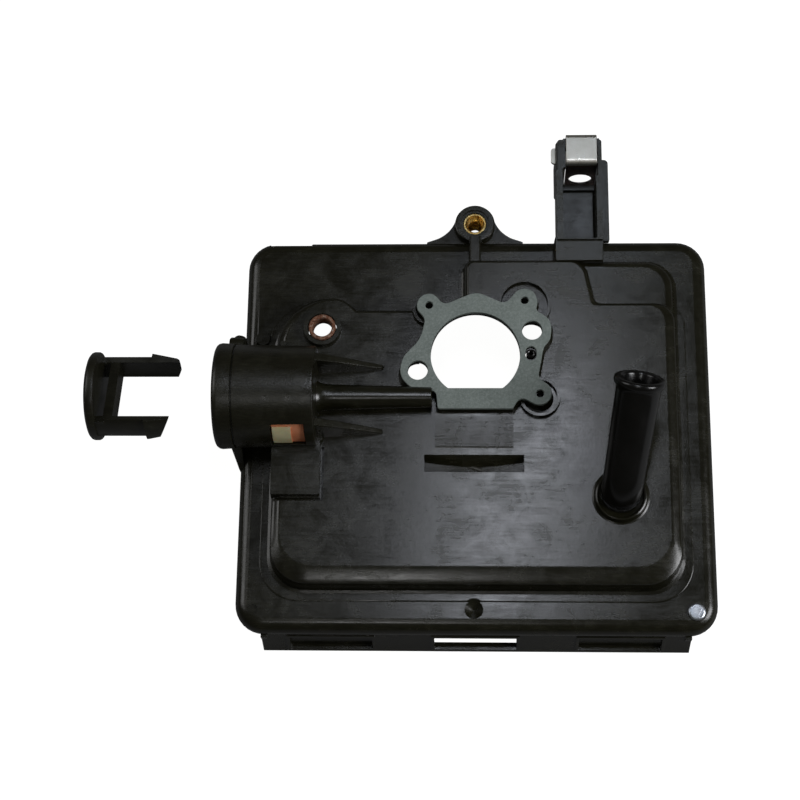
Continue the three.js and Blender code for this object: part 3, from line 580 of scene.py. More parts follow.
# Marks about 2 mm apart with no direction, and a coarser grain than the plate has.
barrel_nylon = glass_filled_nylon(
    "moulded_nylon_barrel_skin", (500.0, 420.0, 420.0), gloss=0.28, grain_depth=0.00004)
barrel = turned([
    (bore_radius + 0.5, mouth_x), (bore_radius + 1.1, mouth_x), (mouth_radius - 0.65, mouth_x + 0.25),
    (mouth_radius - 0.2, mouth_x + 0.8), (mouth_radius, mouth_x + 1.7), (mouth_radius - 0.25, step_x - 0.35),
    (mouth_radius - 0.9, step_x - 0.2), (mouth_radius - 0.9, step_x + 0.2), (barrel_radius + 0.4, step_x + 0.35),
    (barrel_radius + 0.35, step_x + 2), (barrel_radius, barrel_end - 6), (barrel_radius, barrel_end - 0.7),
    (barrel_radius - 0.2, barrel_end - 0.2), (barrel_radius - 0.7, barrel_end),
    (bore_of_duct, barrel_end), (bore_of_duct, barrel_end - end_wall), (bore_radius - 0.8, barrel_end - end_wall),
    (bore_radius, barrel_end - end_wall - 0.8), (bore_radius, mouth_x + 0.7)],
    axis="x", spot=(0, axis_y, axis_z), steps=96)
window_near, window_far, window_width, leg_turn = -61.3, -51.0, 10.2, math.radians(-19.5)


def turn_legs(bm):
    bmesh.ops.rotate(bm, verts=bm.verts, cent=(0, axis_y, axis_z), matrix=Matrix.Rotation(leg_turn, 3, "X"))
    return bm


barrel_windows = [turn_legs(slab([
    (window_near, y0, 0.6), (window_far, y0, 0.6), (window_far, y0 + 8, 0.6), (window_near, y0 + 8, 0.6)],
    axis_z - window_width / 2, axis_z + window_width / 2)) for y0 in (axis_y - 19, axis_y + 11)]
barrel = combine(barrel, barrel_windows, "DIFFERENCE")
barrel = finish_piece("primer_guide_barrel", barrel, barrel_nylon, edge=0.2, sharp=40)
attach(barrel, "housing")
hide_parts("primer_barrel")

# ---------------------------------------------------------------- barrel saddle
# The bulkhead that carries the barrel's mouth over the edge of the flange, with a skirt at its near side and a
# rounded hump at its far side. Moulded with the plate; the barrel sinks into it.
saddle_low, saddle_high = box_mm("barrel_saddle")
saddle_side = [
    (-12.4, 9.1, 0.5), (27.4, 9.1, 0.5), (27.0, 16, 2), (26.8, 27, 2.6), (20.4, 27, 1), (-7, 25.5, 1.2),
    (-8.1, 20, 3), (-10.9, 15.2, 2), (-12.4, 13.6, 1.5)]
saddle_draws = [
    (saddle_low.x, 1), (saddle_low.x + 0.4, 0), (saddle_high.x - 0.1, 0), (saddle_high.x + 1.6, 0.4)]
saddle = stack_along_x([
    (rounded_outline([(y + (0.4 if y < 0 else -0.4) * draw, z, r) for y, z, r in saddle_side]), x)
    for x, draw in saddle_draws])
for vert in saddle.verts:
    if vert.co.y < -6:  # the skirt slants in towards the flange
        vert.co.x = max(vert.co.x, -75.4 + (-6 - vert.co.y) * 0.35)
hump = stack([
    (rounded_outline(oblong(-75.7 + d, -70.9 - d, 12, 28.3 - d, 2.35 - d * 0.5)), z)
    for z, d in [(saddle_low.z, 0), (22.6, 0), (23.9, 0.4), (24.6, 1.3)]])
saddle = combine(saddle, [hump], "UNION")
saddle_room = turned([(0, -99), (15.0, -99), (15.0, -50), (0, -50)], axis="x", spot=(0, axis_y, axis_z), steps=64)
saddle = combine(saddle, [saddle_room], "DIFFERENCE")
saddle = finish_piece("barrel_saddle_bulkhead", saddle, nylon, edge=0.3)
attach(saddle, "housing")
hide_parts("barrel_saddle")

# ---------------------------------------------------------------- primer duct
# The tapered air duct from the barrel's end to the joint face, half sunk in the platform. Moulded round a core
# pin, which left it smoother and glossier than the rest.
_, duct_high = box_mm("primer_duct")
duct_start, duct_end, duct_z = barrel_end - 0.2, duct_high.x, 26.8
glossy_nylon = glass_filled_nylon("moulded_nylon_polished_tool", (90.0, 700.0, 700.0), gloss=0.19)
duct = turned([
    (bore_of_duct, duct_start), (5.2, duct_start), (4.75, duct_start + 0.7), (4.35, duct_start + 1.6),
    (4.1, duct_start + 3), (3.95, duct_start + 5), (3.1, duct_end - 0.3), (2.8, duct_end),
    (bore_of_duct, duct_end)], axis="x", spot=(0, axis_y, duct_z), steps=64)
below = slab(oblong(-60, 0, -10, 20), 0, platform_top - 0.4)
duct = combine(duct, [below], "DIFFERENCE")
duct = finish_piece("primer_air_duct", duct, glossy_nylon, edge=0)
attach(duct, "housing")
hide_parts("primer_duct")

# ---------------------------------------------------------------- gussets
# Two thin three-cornered webs that brace the barrel's closed end against the platform, one each side of the
# duct. Moulded with the plate, thinner at their tops and tips.
for node, name in (("gusset_upper", "brace_web_far"), ("gusset_lower", "brace_web_near")):
    web_low, web_high = box_mm(node)
    middle_y, x0, x1 = (web_low.y + web_high.y) / 2, web_low.x - 0.6, web_high.x + 0.6
    base_z, tip_z, crown_z = platform_top - 0.4, platform_top + 0.9, web_high.z
    side = rounded_outline([
        (x0, base_z, 0), (x1, base_z, 0), (x1 - 0.2, tip_z, 0.7), (x0 + 6, crown_z - 2.7, 9), (x0, crown_z, 0)])
    half = (web_high.y - web_low.y) / 2
    web = stack([(side, -half), (side, half)])
    bmesh.ops.transform(web, matrix=Matrix(((1, 0, 0, 0), (0, 0, 1, middle_y), (0, 1, 0, 0), (0, 0, 0, 1))),
                        verts=web.verts)
    for vert in web.verts:
        rise, reach = (vert.co.z - base_z) / (crown_z - base_z), (vert.co.x - x0) / (x1 - x0)
        vert.co.y = middle_y + (vert.co.y - middle_y) * (1.9 - 0.5 * rise - 1.1 * reach)
    bmesh.ops.recalc_face_normals(web, faces=web.faces)
    web = finish_piece(name, web, nylon, edge=0.3)
    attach(web, "housing")
    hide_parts(node)

# ---------------------------------------------------------------- carburettor gasket
# A flat gasket between the housing and the carburettor, stamped from compressed fibre sheet: grey-green, matt,
# with short fibres pressed into it. It lies on the joint pad, and its lugs rest on three small ring bosses.
gasket_low, gasket_high = box_mm("carburettor_gasket")


def fibre_sheet(name):
    # Compressed fibre sheet, calendered and coated: matt, a dull grey-green. Short fibres about 0.3 mm thick lie
    # at all angles and make a fine even speckle, over faint patches where the sheet was handled.
    material, tree, where = start_material(name)
    speckle = add_node(tree, "TexNoise", Vector=where, Scale=1500.0, Detail=3.0, Roughness=0.6, Distortion=0.8)
    fibres = add_node(tree, "TexVoronoi", {"feature": "DISTANCE_TO_EDGE"}, Vector=where, Scale=1100.0)
    patches = add_node(tree, "TexNoise", Vector=where, Scale=150.0, Detail=4.0)
    base_tint = add_node(tree, "ValToRGB", {"stops": [(0.3, "#6f7873"), (0.7, "#7e8782")]}, Fac=patches)
    flecks = add_node(tree, "ValToRGB", {"stops": [(0.42, 0.0), (0.72, 0.5)]}, Fac=speckle)
    tint = add_node(tree, "MixRGB", Fac=flecks, Color1=base_tint, Color2=paint("#a3aba6"))
    weave = add_node(tree, "Math", {"operation": "MULTIPLY_ADD"}, _0=fibres, _1=0.6, _2=speckle)
    bump = add_node(tree, "Bump", Distance=0.00003, Height=weave)
    add_node(tree, "OutputMaterial", Surface=add_node(
        tree, "BsdfPrincipled", Base_Color=tint, Roughness=0.8, Normal=bump))
    return material


gasket_fibre = fibre_sheet("compressed_fibre_sheet")
gasket = stack([(joint_outline, gasket_low.z - 0.3), (joint_outline, gasket_high.z)])
port_slot = slab([(15.3, 18.2, 1.69), (18.7, 18.2, 1.69), (18.7, 22.8, 1.69), (15.3, 22.8, 1.69)], 20, top)
gasket = combine(gasket, [
    throat_bore(20, top), *[disc(x, y, 20, top, bolt_radius, sides=36) for x, y in bolt_spots],
    *[disc(x, y, 20, top, 1.25, sides=24) for x, y, _ in ear_spots], port_slot], "DIFFERENCE")
gasket = finish_piece("carburettor_joint_gasket", gasket, gasket_fibre, edge=0.12)
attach(gasket, "housing")
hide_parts("carburettor_gasket")

# ---------------------------------------------------------------- port seal
# The little rubber nipple in the gasket's oval port, where the primer's air reaches the carburettor.
# Moulded rubber, pushed into the end of the duct.
seal_low, seal_high = box_mm("primer_port_seal")


def moulded_rubber(name, tint_dark, tint_light, roughness, bloom_size):
    # Moulded rubber from a polished tool: deep colour, a broad soft gloss and a slight dusty bloom that dulls it
    # in patches some millimetres across.
    material, tree, where = start_material(name)
    bloom = add_node(tree, "TexNoise", Vector=where, Scale=1000 / bloom_size, Detail=5.0, Roughness=0.6)
    pores = add_node(tree, "TexNoise", Vector=where, Scale=2600.0, Detail=2.0)
    tint = add_node(tree, "ValToRGB", {"stops": [(0.35, tint_dark), (0.7, tint_light)]}, Fac=bloom)
    rough = add_node(tree, "ValToRGB", {"stops": [(0.3, roughness - 0.03), (0.75, roughness + 0.07)]}, Fac=bloom)
    bump = add_node(tree, "Bump", Distance=0.000008, Height=pores)
    add_node(tree, "OutputMaterial", Surface=add_node(
        tree, "BsdfPrincipled", Base_Color=tint, Roughness=rough, Normal=bump, IOR=1.52))
    return material


black_rubber = moulded_rubber("moulded_nitrile_rubber", "#080807", "#0d0c0b", 0.22, 9.0)
seal = turned([
    (1.4, seal_low.z), (1.4, seal_high.z - 0.5), (1.2, seal_high.z - 0.1), (0.95, seal_high.z + 0.05),
    (0.7, seal_high.z - 0.1), (0.6, seal_high.z - 0.4), (0.6, seal_low.z)], spot=(*port_spot, 0), steps=32)
seal = finish_piece("primer_port_nipple", seal, black_rubber, edge=0)
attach(seal, "housing")
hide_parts("primer_port_seal")

# ---------------------------------------------------------------- breather socket
# The low round collar that the breather tube stands in, moulded on the platform with a rounded crown and a
# small fillet at its root.
collar_outer, collar_inner = 7.9, 5.2
collar = turned([
    (collar_inner, platform_top - 1), (collar_outer + 0.9, platform_top - 1),
    (collar_outer + 0.8, platform_top + 0.05), (collar_outer + 0.3, platform_top + 0.25),
    (collar_outer + 0.05, platform_top + 0.7), (collar_outer, socket_high.z - 0.6),
    (collar_outer - 0.25, socket_high.z - 0.15),
    (collar_outer - 0.6, socket_high.z), (collar_outer - 0.95, socket_high.z - 0.15),
    (collar_outer - 1.3, socket_high.z - 0.8), (collar_inner + 0.3, socket_high.z - 1.1),
    (collar_inner, socket_high.z - 1.2)],
    spot=(*socket_spot, 0), steps=72)
collar = finish_piece("breather_tube_collar", collar, glossy_nylon, edge=0)
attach(collar, "housing")
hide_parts("breather_socket")

# ---------------------------------------------------------------- breather tube
# The crankcase breather's tube: it stands in the collar, bends towards the far side and ends in a rolled lip.
# Moulded in black rubber round a bent core, with the same wall all along.
_, tube_high = box_mm("breather_tube")
tube_radius, tube_bore, lip_of_tube, lip_length = 6.7, 5.3, 7.6, 2.4
knee = Vector((socket_spot[0], socket_spot[1] + 1, 29.2))
tube_mouth = Vector((tube_high.x - lip_of_tube, 5.5, 49.5))
lean = (tube_mouth - knee).normalized()
bend = lean.angle(Vector((0, 0, 1)))
bend_radius = 8.8
reach = bend_radius * math.tan(bend / 2)
tube_line = [(knee - Vector((0, 0, reach)), Vector((0, 0, 1)))]
tube_foot = (Vector((knee.x, knee.y, platform_top + 0.3)), Vector((0, 0, 1)))
hinge_axis = Vector((0, 0, 1)).cross(lean).normalized()
for step in range(1, 13):
    turned_by = Matrix.Rotation(bend * step / 12, 3, hinge_axis)
    centre = tube_line[0][0] + Vector((lean.x, lean.y, 0)).normalized() * bend_radius
    tube_line.append((centre + turned_by @ (tube_line[0][0] - centre), turned_by @ Vector((0, 0, 1))))
straight_from = tube_line[-1][0]
straight = (tube_mouth - straight_from).length


def along_tube(distance):
    return straight_from + lean * distance, lean


def swept(rings, sides=56):
    """A closed skin through round rings, each a centre, a direction and a radius; the last joins the first."""
    bm = bmesh.new()
    loop = bmesh.ops.create_circle(bm, segments=sides, radius=1.0)["verts"]
    edges = first = bm.edges[:]
    before = Matrix.Identity(4)
    for centre, direction, radius in rings:
        place = (Matrix.Translation(centre) @ Vector((0, 0, 1)).rotation_difference(direction).to_matrix().to_4x4()
                 @ Matrix.Scale(radius, 4))
        if before != Matrix.Identity(4):
            grown_loop = bmesh.ops.extrude_edge_only(bm, edges=edges)["geom"]
            loop = [part for part in grown_loop if isinstance(part, bmesh.types.BMVert)]
            edges = [part for part in grown_loop if isinstance(part, bmesh.types.BMEdge)
                     and all(vert in loop for vert in part.verts)]
        bmesh.ops.transform(bm, matrix=place @ before.inverted(), verts=loop)
        before = place
    bmesh.ops.bridge_loops(bm, edges=first + edges)
    bmesh.ops.recalc_face_normals(bm, faces=bm.faces)
    return bm


foot_radius = tube_radius - 0.5
outside = [(*tube_foot, foot_radius)] + [(centre, direction, foot_radius) for centre, direction in tube_line]
outside += [(*along_tube(straight * share), foot_radius + 0.5 * share) for share in (0.25, 0.5, 0.75)]
outside += [(*along_tube(straight - back), radius) for back, radius in (
    (lip_length + 1.2, tube_radius), (lip_length + 0.4, tube_radius + 0.1), (lip_length, tube_radius + 0.35),
    (lip_length - 0.5, lip_of_tube - 0.12), (lip_length - 1.0, lip_of_tube), (0.7, lip_of_tube),
    (0.25, lip_of_tube - 0.18), (0.0, lip_of_tube - 0.6), (-0.05, tube_bore + 0.7), (0.15, tube_bore + 0.25),
    (0.7, tube_bore))]
inside = [(*along_tube(straight * share), tube_bore) for share in (0.75, 0.5, 0.25)]
inside += [(centre, direction, tube_bore) for centre, direction in reversed(tube_line)] + [(*tube_foot, tube_bore)]
tube = finish_piece("breather_elbow_tube", swept(outside + inside), black_rubber, edge=0, sharp=50)
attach(tube, "housing")
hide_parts("breather_tube")

# ---------------------------------------------------------------- cover bracket
# The arm at the far right that takes the cover's screw: a channel with thin walls, a block-shaped foot on the
# plate, a fin down its right side and an open box at its end for the clip. Moulded with the plate.
arm_low, arm_high = box_mm("cover_bracket")
arm_x0, arm_x1, arm_end, arm_top = 25.7, 40.1, arm_high.y - 2.0, 24.0
foot_end, box_start, trough_floor = 60.2, 82.5, 13.0
arm_foot = stack([
    (rounded_outline(oblong(24.6, 40.3, 52.2, 61, 0.5)), flange_top - 0.5),
    (rounded_outline(oblong(25.0, 40.1, 52.8, 61, 0.5)), 22.7),
    (rounded_outline(oblong(25.3, 39.9, 53.1, 61, 0.4)), 23.1)])
beam = slab(oblong(arm_x0, arm_x1, foot_end - 0.4, box_start + 1, 0.2), trough_floor - 2, arm_top)
over_flange = slab(oblong(arm_x0, arm_x1, foot_end - 0.4, half_depth, 0.2), flange_top - 0.5, arm_top)
end_box = stack([
    (rounded_outline(oblong(arm_x0 - spread, arm_x1 + 0.1, box_start, arm_end, 0.8)), z)
    for z, spread in [(arm_low.z, 0), (arm_top - 2.2, 0.1), (arm_top, -0.5)]])
fin = slab([(arm_x1 - 1, half_depth + 0.3, 0), (arm_high.x, half_depth + 0.3, 0.6), (arm_high.x, arm_end - 2, 1.4),
            (arm_x1 - 1, arm_end - 2, 0)], trough_floor - 2, trough_floor)
arm = combine(arm_foot, [beam, over_flange, end_box, fin], "UNION")
trough = stack([
    (rounded_outline(oblong(28.2, 37.7, foot_end + 0.4, box_start + 2, 0.8)), trough_floor),
    (rounded_outline(oblong(27.8, 38.1, foot_end, box_start + 2, 0.8)), trough_floor + 0.8),
    (rounded_outline(oblong(27.6, 38.4, foot_end - 0.2, box_start + 2, 0.8)), arm_top + 5)])
box_room = slab(oblong(28.6, 39.0, box_start - 1, 120, 0.4), -9, 60)
arm = combine(arm, [trough, box_room], "DIFFERENCE")
clip_low, clip_high = box_mm("spring_clip")
clip_x0, clip_x1, clip_hole_z = clip_low.x, clip_high.x, 12.2
clip_x = (clip_x0 + clip_x1) / 2


def cross_disc(x, y0, y1, z, radius, sides=40):
    bm = disc(0, 0, y0, y1, radius, sides=sides)
    bmesh.ops.rotate(bm, verts=bm.verts, cent=(0, 0, 0), matrix=Matrix.Rotation(math.radians(-90), 3, "X"))
    bmesh.ops.translate(bm, verts=bm.verts, vec=(x, 0, z))
    return bm


end_wall = slab(oblong(28, 39.6, 92.6, 95, 0), 5, 23)
end_wall = combine(end_wall, [cross_disc(clip_x, 80, 120, clip_hole_z, 4.0)], "DIFFERENCE")
core_boss = disc(33.2, foot_end + 0.4, trough_floor - 0.5, 15.6, 3.9, 3.5, sides=36)
ledge_by_box = slab(oblong(27, 39.6, box_start - 1.6, box_start + 0.2, 0.3), trough_floor - 2, trough_floor + 1.2)
arm = combine(arm, [end_wall, core_boss, ledge_by_box], "UNION")
arm = finish_piece("cover_screw_bracket", arm, nylon, edge=0.25)
arm.data.materials.append(glossy_nylon)
# The channel's floor and walls are glossier than the rest of the arm.
channel_low = to_frame @ Vector((27.5, foot_end - 0.3, trough_floor - 0.2))
channel_high = to_frame @ Vector((38.5, box_start + 0.5, arm_top - 0.6))
for face in arm.data.polygons:
    if all(low < c < high for low, c, high in zip(channel_low, face.center, channel_high)):
        face.material_index = 1
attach(arm, "housing")
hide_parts("cover_bracket")

# ---------------------------------------------------------------- spring clip
# A U of zinc-plated spring steel pushed over the end of the arm, with a round hole through both legs, a small
# foot bent out at the inner leg and a tab at the left. Cut and folded from 0.8 mm sheet.
sheet, clip_y0, clip_y1, clip_top, clip_bottom = 0.8, clip_low.y, clip_high.y, clip_high.z, clip_low.z
clip_side = rounded_outline([
    (clip_y0 - 1.3, clip_bottom, 0.2), (clip_y0 + sheet, clip_bottom, 0.7),
    (clip_y0 + sheet, clip_top - sheet, 0.9),
    (clip_y1 - sheet, clip_top - sheet, 0.9), (clip_y1 - sheet, clip_bottom, 0.2), (clip_y1, clip_bottom, 0.2),
    (clip_y1, clip_top, 1.7), (clip_y0, clip_top, 1.7), (clip_y0, clip_bottom + sheet, 0.3),
    (clip_y0 - 1.3, clip_bottom + sheet, 0.2)], 6)
clip = stack_along_x([(clip_side, clip_x0), (clip_side, clip_x1)])
clip = combine(clip, [cross_disc(clip_x, 80, 120, clip_hole_z, 3.7)], "DIFFERENCE")
side_tab = slab([
    (24.3, 88.4, 1.0), (clip_x0 + 0.6, 87.6, 0.2), (clip_x0 + 0.6, 94.2, 0.2), (24.3, 93.6, 1.0)], 17.6, 18.6)
clip = combine(clip, [side_tab], "UNION")
# Bright zinc plate on rolled strip: pale, slightly warm silver with rolling marks 0.2 mm apart along y.
zinc_plate = metal("zinc_plated_spring_steel", "#e6e3d8", "#f2efe6", 0.34, (5000.0, 160.0, 160.0), 0.000002, 4.0)
clip = finish_piece("cover_spring_clip", clip, zinc_plate, edge=0.12)
# The faces turned to the near side below the fold are painted brown-dark over the plating: painted shade and a
# painted reflection of the dark plastic, in blotches 3 mm across.
zinc_painted_shade = metal("zinc_plate_with_painted_shade", "#3a2a26", "#5e4c44", 0.34, (900.0, 160.0, 160.0), 0.000002, 3.0)
clip.data.materials.append(zinc_painted_shade)
# Painted shade: faces that look to the near side, below the fold, take the brown-dark plating.
for face in clip.data.polygons:
    if face.normal.y < -0.7 and face.center.z < (clip_top - 2.5) / 1000:
        face.material_index = 1
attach(clip, "housing")
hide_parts("spring_clip")

# ---------------------------------------------------------------- clip nut
# The plated hexagon nut fixed to the clip's outer leg, with chamfered corners and a cut thread.
nut_low, nut_high = box_mm("clip_nut")
nut_radius, nut_length = 5.5, nut_high.y - nut_low.y
nut = disc(0, 0, 0, nut_length, nut_radius, sides=6)
nut_round = turned([(0, -0.1), (4.9, -0.1), (5.6, 0.45), (5.6, nut_length - 0.45), (4.9, nut_length + 0.1),
                    (0, nut_length + 0.1)], steps=48)
thread_points = threaded_bore(-0.2, nut_length + 0.2, 2.9, 3.2, 0.7)
nut_thread = turned([(0, -0.2), (0, nut_length + 0.2), *reversed(thread_points)], steps=48)
nut = combine(combine(nut, [nut_round], "INTERSECT"), [nut_thread], "DIFFERENCE")
bmesh.ops.rotate(nut, verts=nut.verts, cent=(0, 0, 0), matrix=Matrix.Rotation(math.radians(-90), 3, "X"))
bmesh.ops.translate(nut, verts=nut.verts, vec=(clip_x, nut_low.y, clip_hole_z))
nut = finish_piece("clip_hexagon_nut", nut, zinc_plate, edge=0)
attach(nut, "housing")
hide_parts("clip_nut")

# ---------------------------------------------------------------- corner pin
# The small plated pin at the near right corner: a flat head with a rounded edge and a slanting dent near its
# rim. Turned, and pressed into the flange.
pin = turned([
    (0, pin_low.z), (1.5, pin_low.z), (1.5, flange_top - 0.1), (2.3, flange_top - 0.1), (2.62, flange_top + 0.25),
    (2.6, pin_high.z - 0.45), (2.35, pin_high.z - 0.15), (1.9, pin_high.z - 0.02), (0, pin_high.z)],
    spot=(*pin_spot, 0), steps=48)
dent = slab(oblong(-0.35, 0.35, -1.3, 1.3, 0.3), pin_high.z - 0.22, pin_high.z + 1)
bmesh.ops.rotate(dent, verts=dent.verts, cent=(0, 0, 0), matrix=Matrix.Rotation(math.radians(-28), 3, "Z"))
bmesh.ops.translate(dent, verts=dent.verts, vec=(pin_spot[0] + 1.25, pin_spot[1] - 0.3, 0))
pin = combine(pin, [dent], "DIFFERENCE")
# Plated steel, turned: cool light grey, rings too fine to see, so the marks are drawn 0.3 mm apart.
bright_steel = metal("plated_turned_steel", "#b4bcc6", "#dfe3ea", 0.34, (3300.0, 3300.0, 900.0), 0.000004, 1.8)
pin = finish_piece("corner_pin_head", pin, bright_steel, edge=0.08)
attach(pin, "housing")
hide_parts("corner_pin")

# ---------------------------------------------------------------- primer bulb
# The soft air bulb inside the barrel, seen through its window: a tan silicone dome with a flange at its base.
# The real one gives only when the seated button is pressed.
bulb_low, bulb_high = box_mm("primer_bulb")


def silicone(name):
    # Moulded silicone: soft cloudy tan that lets some light through, with a satin skin and a trace of dust.
    material, tree, where = start_material(name)
    cloud = add_node(tree, "TexNoise", Vector=where, Scale=220.0, Detail=4.0)
    tint = add_node(tree, "ValToRGB", {"stops": [(0.3, "#c4b98c"), (0.7, "#e2dab4")]}, Fac=cloud)
    rough = add_node(tree, "ValToRGB", {"stops": [(0.3, 0.38), (0.7, 0.55)]}, Fac=cloud)
    bump = add_node(tree, "Bump", Distance=0.00001, Height=cloud)
    add_node(tree, "OutputMaterial", Surface=add_node(
        tree, "BsdfPrincipled", Base_Color=tint, Roughness=rough, Normal=bump, IOR=1.43,
        Subsurface_Weight=0.25, Subsurface_Scale=0.002))
    return material


tan_silicone = silicone("moulded_tan_silicone")
bulb_base, bulb_tip, bulb_radius, bulb_wall = bulb_high.x, bulb_low.x, 9.6, 1.2
dome_start = bulb_tip + bulb_radius * 1.1


def dome(radius, start, tip, count=10):
    angles = [math.radians(90 * i / count) for i in range(count + 1)]
    return [(radius * math.sin(a), tip + (start - tip) * (1 - math.cos(a))) for a in angles]


bulb = turned([
    *dome(bulb_radius, dome_start, bulb_tip), (bulb_radius, bulb_base - 1.8), (9.9, bulb_base - 1.5),
    (10.5, bulb_base - 1.4), (10.5, bulb_base - 0.1), (10.3, bulb_base), (bulb_radius - bulb_wall, bulb_base),
    *reversed(dome(bulb_radius - bulb_wall, dome_start, bulb_tip + bulb_wall))],
    axis="x", spot=(0, axis_y, axis_z), steps=64)
bulb = finish_piece("primer_air_bulb", bulb, tan_silicone, edge=0, sharp=60)
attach(bulb, "housing")
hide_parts("primer_bulb")
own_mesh(bulb)

# ---------------------------------------------------------------- bulb retainer
# The ring that clamps the bulb's flange against the barrel's end, moulded in salmon-coloured acetal and
# snapped in. A curved tab of it fills the near window, with a tan silicone pad over its left half.
ring_low, ring_high = box_mm("bulb_retainer")


def acetal(name):
    # Moulded acetal: an even warm salmon with a waxy half-gloss and slight knit marks a few millimetres apart.
    material, tree, where = start_material(name)
    knit = add_node(tree, "TexNoise", Vector=where, Scale=300.0, Detail=3.0, Distortion=0.5)
    tint = add_node(tree, "ValToRGB", {"stops": [(0.3, "#cb7a52"), (0.7, "#e39a74")]}, Fac=knit)
    rough = add_node(tree, "ValToRGB", {"stops": [(0.3, 0.34), (0.7, 0.46)]}, Fac=knit)
    bump = add_node(tree, "Bump", Distance=0.00001, Height=knit)
    add_node(tree, "OutputMaterial", Surface=add_node(
        tree, "BsdfPrincipled", Base_Color=tint, Roughness=rough, Normal=bump, IOR=1.48))
    return material


salmon_acetal = acetal("moulded_salmon_acetal")
retainer = turned([
    (10.4, ring_low.x), (10.6, ring_low.x + 0.3), (10.6, ring_high.x), (9.9, ring_high.x), (9.9, ring_low.x + 0.2),
    (10.1, ring_low.x)], axis="x", spot=(0, axis_y, axis_z), steps=64)


def window_tab(x0, x1, inner, outer, sweep, turn):
    """A curved block that fills part of the near window, turned up from the near side by an angle."""
    tab = turned([(inner, x0), (outer, x0), (outer, x1), (inner, x1)], steps=12, sweep=sweep)
    bmesh.ops.rotate(tab, verts=tab.verts, cent=(0, 0, 0),
                     matrix=Matrix.Rotation(math.radians(-90 - turn - sweep / 2), 3, "Z"))
    bmesh.ops.rotate(tab, verts=tab.verts, cent=(0, 0, 0), matrix=Matrix.Rotation(math.radians(90), 3, "Y"))
    bmesh.ops.translate(tab, verts=tab.verts, vec=(0, axis_y, axis_z))
    return tab


tabs = [window_tab(window_near + 0.3, window_far - 0.3, 14.0, 14.5, 36.0, 19.5),
        window_tab(window_near + 0.5, window_near + 6.1, 14.0, 15.0, 31.0, 17.5)]
retainer = combine(retainer, tabs, "UNION")
retainer = finish_piece("bulb_clamp_ring", retainer, salmon_acetal, edge=0)
retainer.data.materials.append(tan_silicone)
for face in retainer.data.polygons:
    spot = to_frame.inverted() @ face.center
    if spot.x < window_near + 6.15 and math.hypot(spot.y - axis_y, spot.z - axis_z) > 14.6:
        face.material_index = 1
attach(retainer, "housing")
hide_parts("bulb_retainer")

# ---------------------------------------------------------------- primer button
# The push button, drawn out of the barrel and in line with it: a domed disc, a cross bar held off it by two
# cheeks, and two curved legs with barbs that snap into the barrel's windows. Moulded in the same black nylon.
button_low, _ = box_mm("primer_button")
face_x, disc_radius, leg_length = button_low.x, 13.5, 27.5
leg_outer, leg_inner, barb_radius, barb_start = 12.7, 10.9, 13.75, 18.9
leg_half_angle = 39.0
button_nylon = glass_filled_nylon("moulded_nylon_button_skin", (260.0, 260.0, 260.0), gloss=0.3)
button = turned([
    (0, 0), (5, 0.12), (9, 0.5), (11.5, 0.95), (12.7, 1.35), (13.3, 1.85), (disc_radius, 2.4), (disc_radius, 3.7),
    (13.3, 4.1), (12.6, 4.2), (0, 4.2)], axis="x", spot=(face_x, axis_y, axis_z), steps=72)
legs = []
for side in (0, 180):
    leg = turned([
        (leg_inner, 3.6), (leg_outer, 3.6), (leg_outer, barb_start), (barb_radius, barb_start + 0.15),
        (barb_radius - 0.1, barb_start + 0.9), (leg_outer - 0.5, leg_length - 0.7), (leg_outer - 0.9, leg_length),
        (leg_inner, leg_length)], steps=16, sweep=leg_half_angle)
    bmesh.ops.bisect_plane(
        leg, geom=leg.verts[:] + leg.edges[:] + leg.faces[:], plane_co=(12, 0, leg_length - 1.0),
        plane_no=(0, 0.42 if side else -0.42, 1), clear_outer=True)
    bmesh.ops.holes_fill(leg, edges=[edge for edge in leg.edges if edge.is_boundary])
    bmesh.ops.rotate(leg, verts=leg.verts, cent=(0, 0, 0),
                     matrix=Matrix.Rotation(math.radians(90 + side - leg_half_angle / 2), 3, "Z"))
    bmesh.ops.rotate(leg, verts=leg.verts, cent=(0, 0, 0), matrix=Matrix.Rotation(math.radians(90), 3, "Y"))
    bmesh.ops.translate(leg, verts=leg.verts, vec=(face_x, axis_y, axis_z))
    bmesh.ops.recalc_face_normals(leg, faces=leg.faces)
    legs.append(leg)
bar_half_height = 3.5
bar = slab(oblong(face_x + 6.4, face_x + 9.2, axis_y - 11.8, axis_y + 11.8, 0.4),
           axis_z - bar_half_height, axis_z + bar_half_height)
cheeks = [slab(oblong(face_x + 3.4, face_x + 7, axis_y + side * 11.3 - 1.2, axis_y + side * 11.3 + 1.2, 0.3),
               axis_z - bar_half_height, axis_z + bar_half_height) for side in (-1, 1)]
button = turn_legs(combine(button, [*legs, bar, *cheeks], "UNION"))
button = finish_piece("primer_push_button", button, button_nylon, edge=0.25)
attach(button, "button")
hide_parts("primer_button")

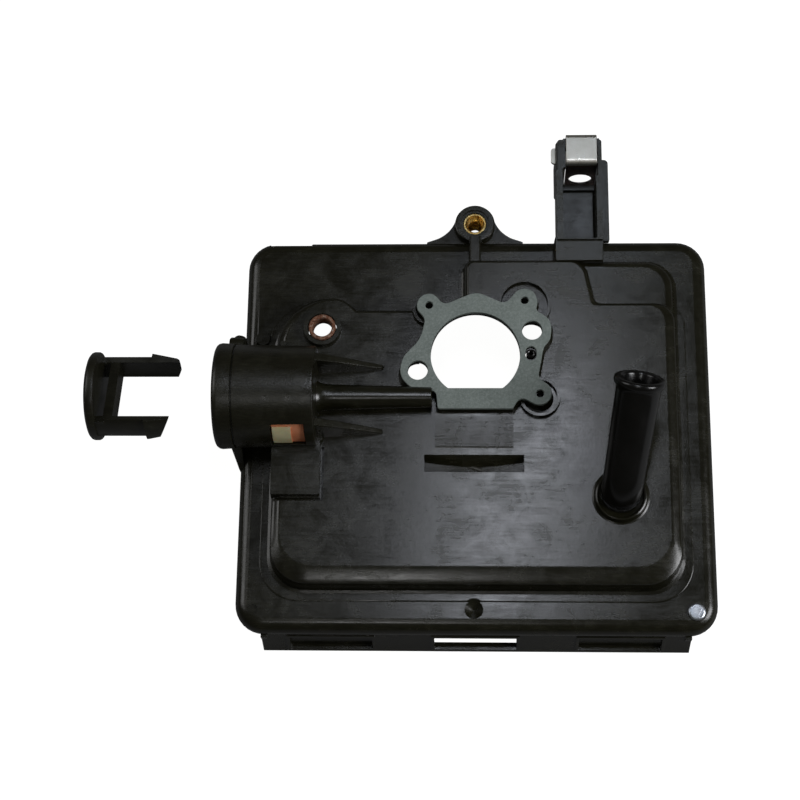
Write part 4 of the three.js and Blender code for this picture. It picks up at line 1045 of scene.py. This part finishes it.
# ---------------------------------------------------------------- table, light and camera
# A plain pale table that looks lit from within but sheds no light of its own on the parts. A narrow lamp over the
# far side puts the haze on the platform, a small one lights the arm, and three more at the sides and by the
# camera draw out the edges.
bm = bmesh.new()
bmesh.ops.create_grid(bm, x_segments=1, y_segments=1, size=2500)
bmesh.ops.translate(bm, verts=bm.verts, vec=(0, 0, -0.2))
bmesh.ops.transform(bm, matrix=to_frame, verts=bm.verts)
table_material, tree, where = start_material("matt_white_laminate")
mottle = add_node(tree, "TexNoise", Vector=where, Scale=12.0, Detail=3.0)
tint = add_node(tree, "ValToRGB", {"stops": [(0.3, "#fcfcfb"), (0.7, "#ffffff")]}, Fac=mottle)
seen = add_node(tree, "LightPath", out="Is Camera Ray")
add_node(tree, "OutputMaterial", Surface=add_node(
    tree, "BsdfPrincipled", Base_Color=paint("#808080"), Roughness=0.7, Emission_Color=tint,
    Emission_Strength=seen))
table = as_object(bm, "table")
table.data.materials.append(table_material)

world = bpy.data.worlds.new("studio")
bpy.context.scene.world = world
world.use_nodes = True
surround = world.node_tree.nodes["Background"]
surround.inputs["Color"].default_value = paint("#eceade")
surround.inputs["Strength"].default_value = 0.055


def soft_lamp(name, spot, aim, width, height, power, colour):
    light = bpy.data.lights.new(name, "AREA")
    light.shape, light.size, light.size_y = "RECTANGLE", width, height
    light.energy, light.color = power, paint(colour)[:3]
    lamp = bpy.data.objects.new(name, light)
    lamp.location = spot
    lamp.rotation_euler = (Vector(aim) - Vector(spot)).to_track_quat("-Z", "Y").to_euler()
    bpy.context.scene.collection.objects.link(lamp)


middle = to_frame @ Vector((0, 0, 20))
soft_lamp("far_lamp", to_frame @ Vector((20, 120, 560)), middle, 0.06, 0.18, 0.34, "#f0f5ff")
soft_lamp("right_lamp", to_frame @ Vector((560, -120, 420)), middle, 0.3, 0.3, 2.6, "#fbfcff")
soft_lamp("left_lamp", to_frame @ Vector((-600, 200, 500)), middle, 0.4, 0.4, 1.0, "#ffffff")
arm_middle = to_frame @ Vector((33, 80, 20))
soft_lamp("arm_lamp", to_frame @ Vector((68, 320, 560)), arm_middle, 0.05, 0.1, 0.05, "#e6f1ff")
soft_lamp("camera_lamp", to_frame @ Vector((-60, -260, 620)), middle, 0.06, 0.05, 0.14, "#ffffff")

# The camera looks down from a little over half a metre, tipped towards the far edge.
lens = bpy.data.cameras.new("camera")
lens.lens, lens.sensor_width = 81, 36
camera = bpy.data.objects.new("camera", lens)
camera.location = (0.02398, -0.17639, 0.54917)
camera.rotation_euler = [math.radians(angle) for angle in (17.643, 2.396, 0.759)]
bpy.context.scene.collection.objects.link(camera)
bpy.context.scene.camera = camera
bpy.context.scene.view_settings.view_transform = "Standard"
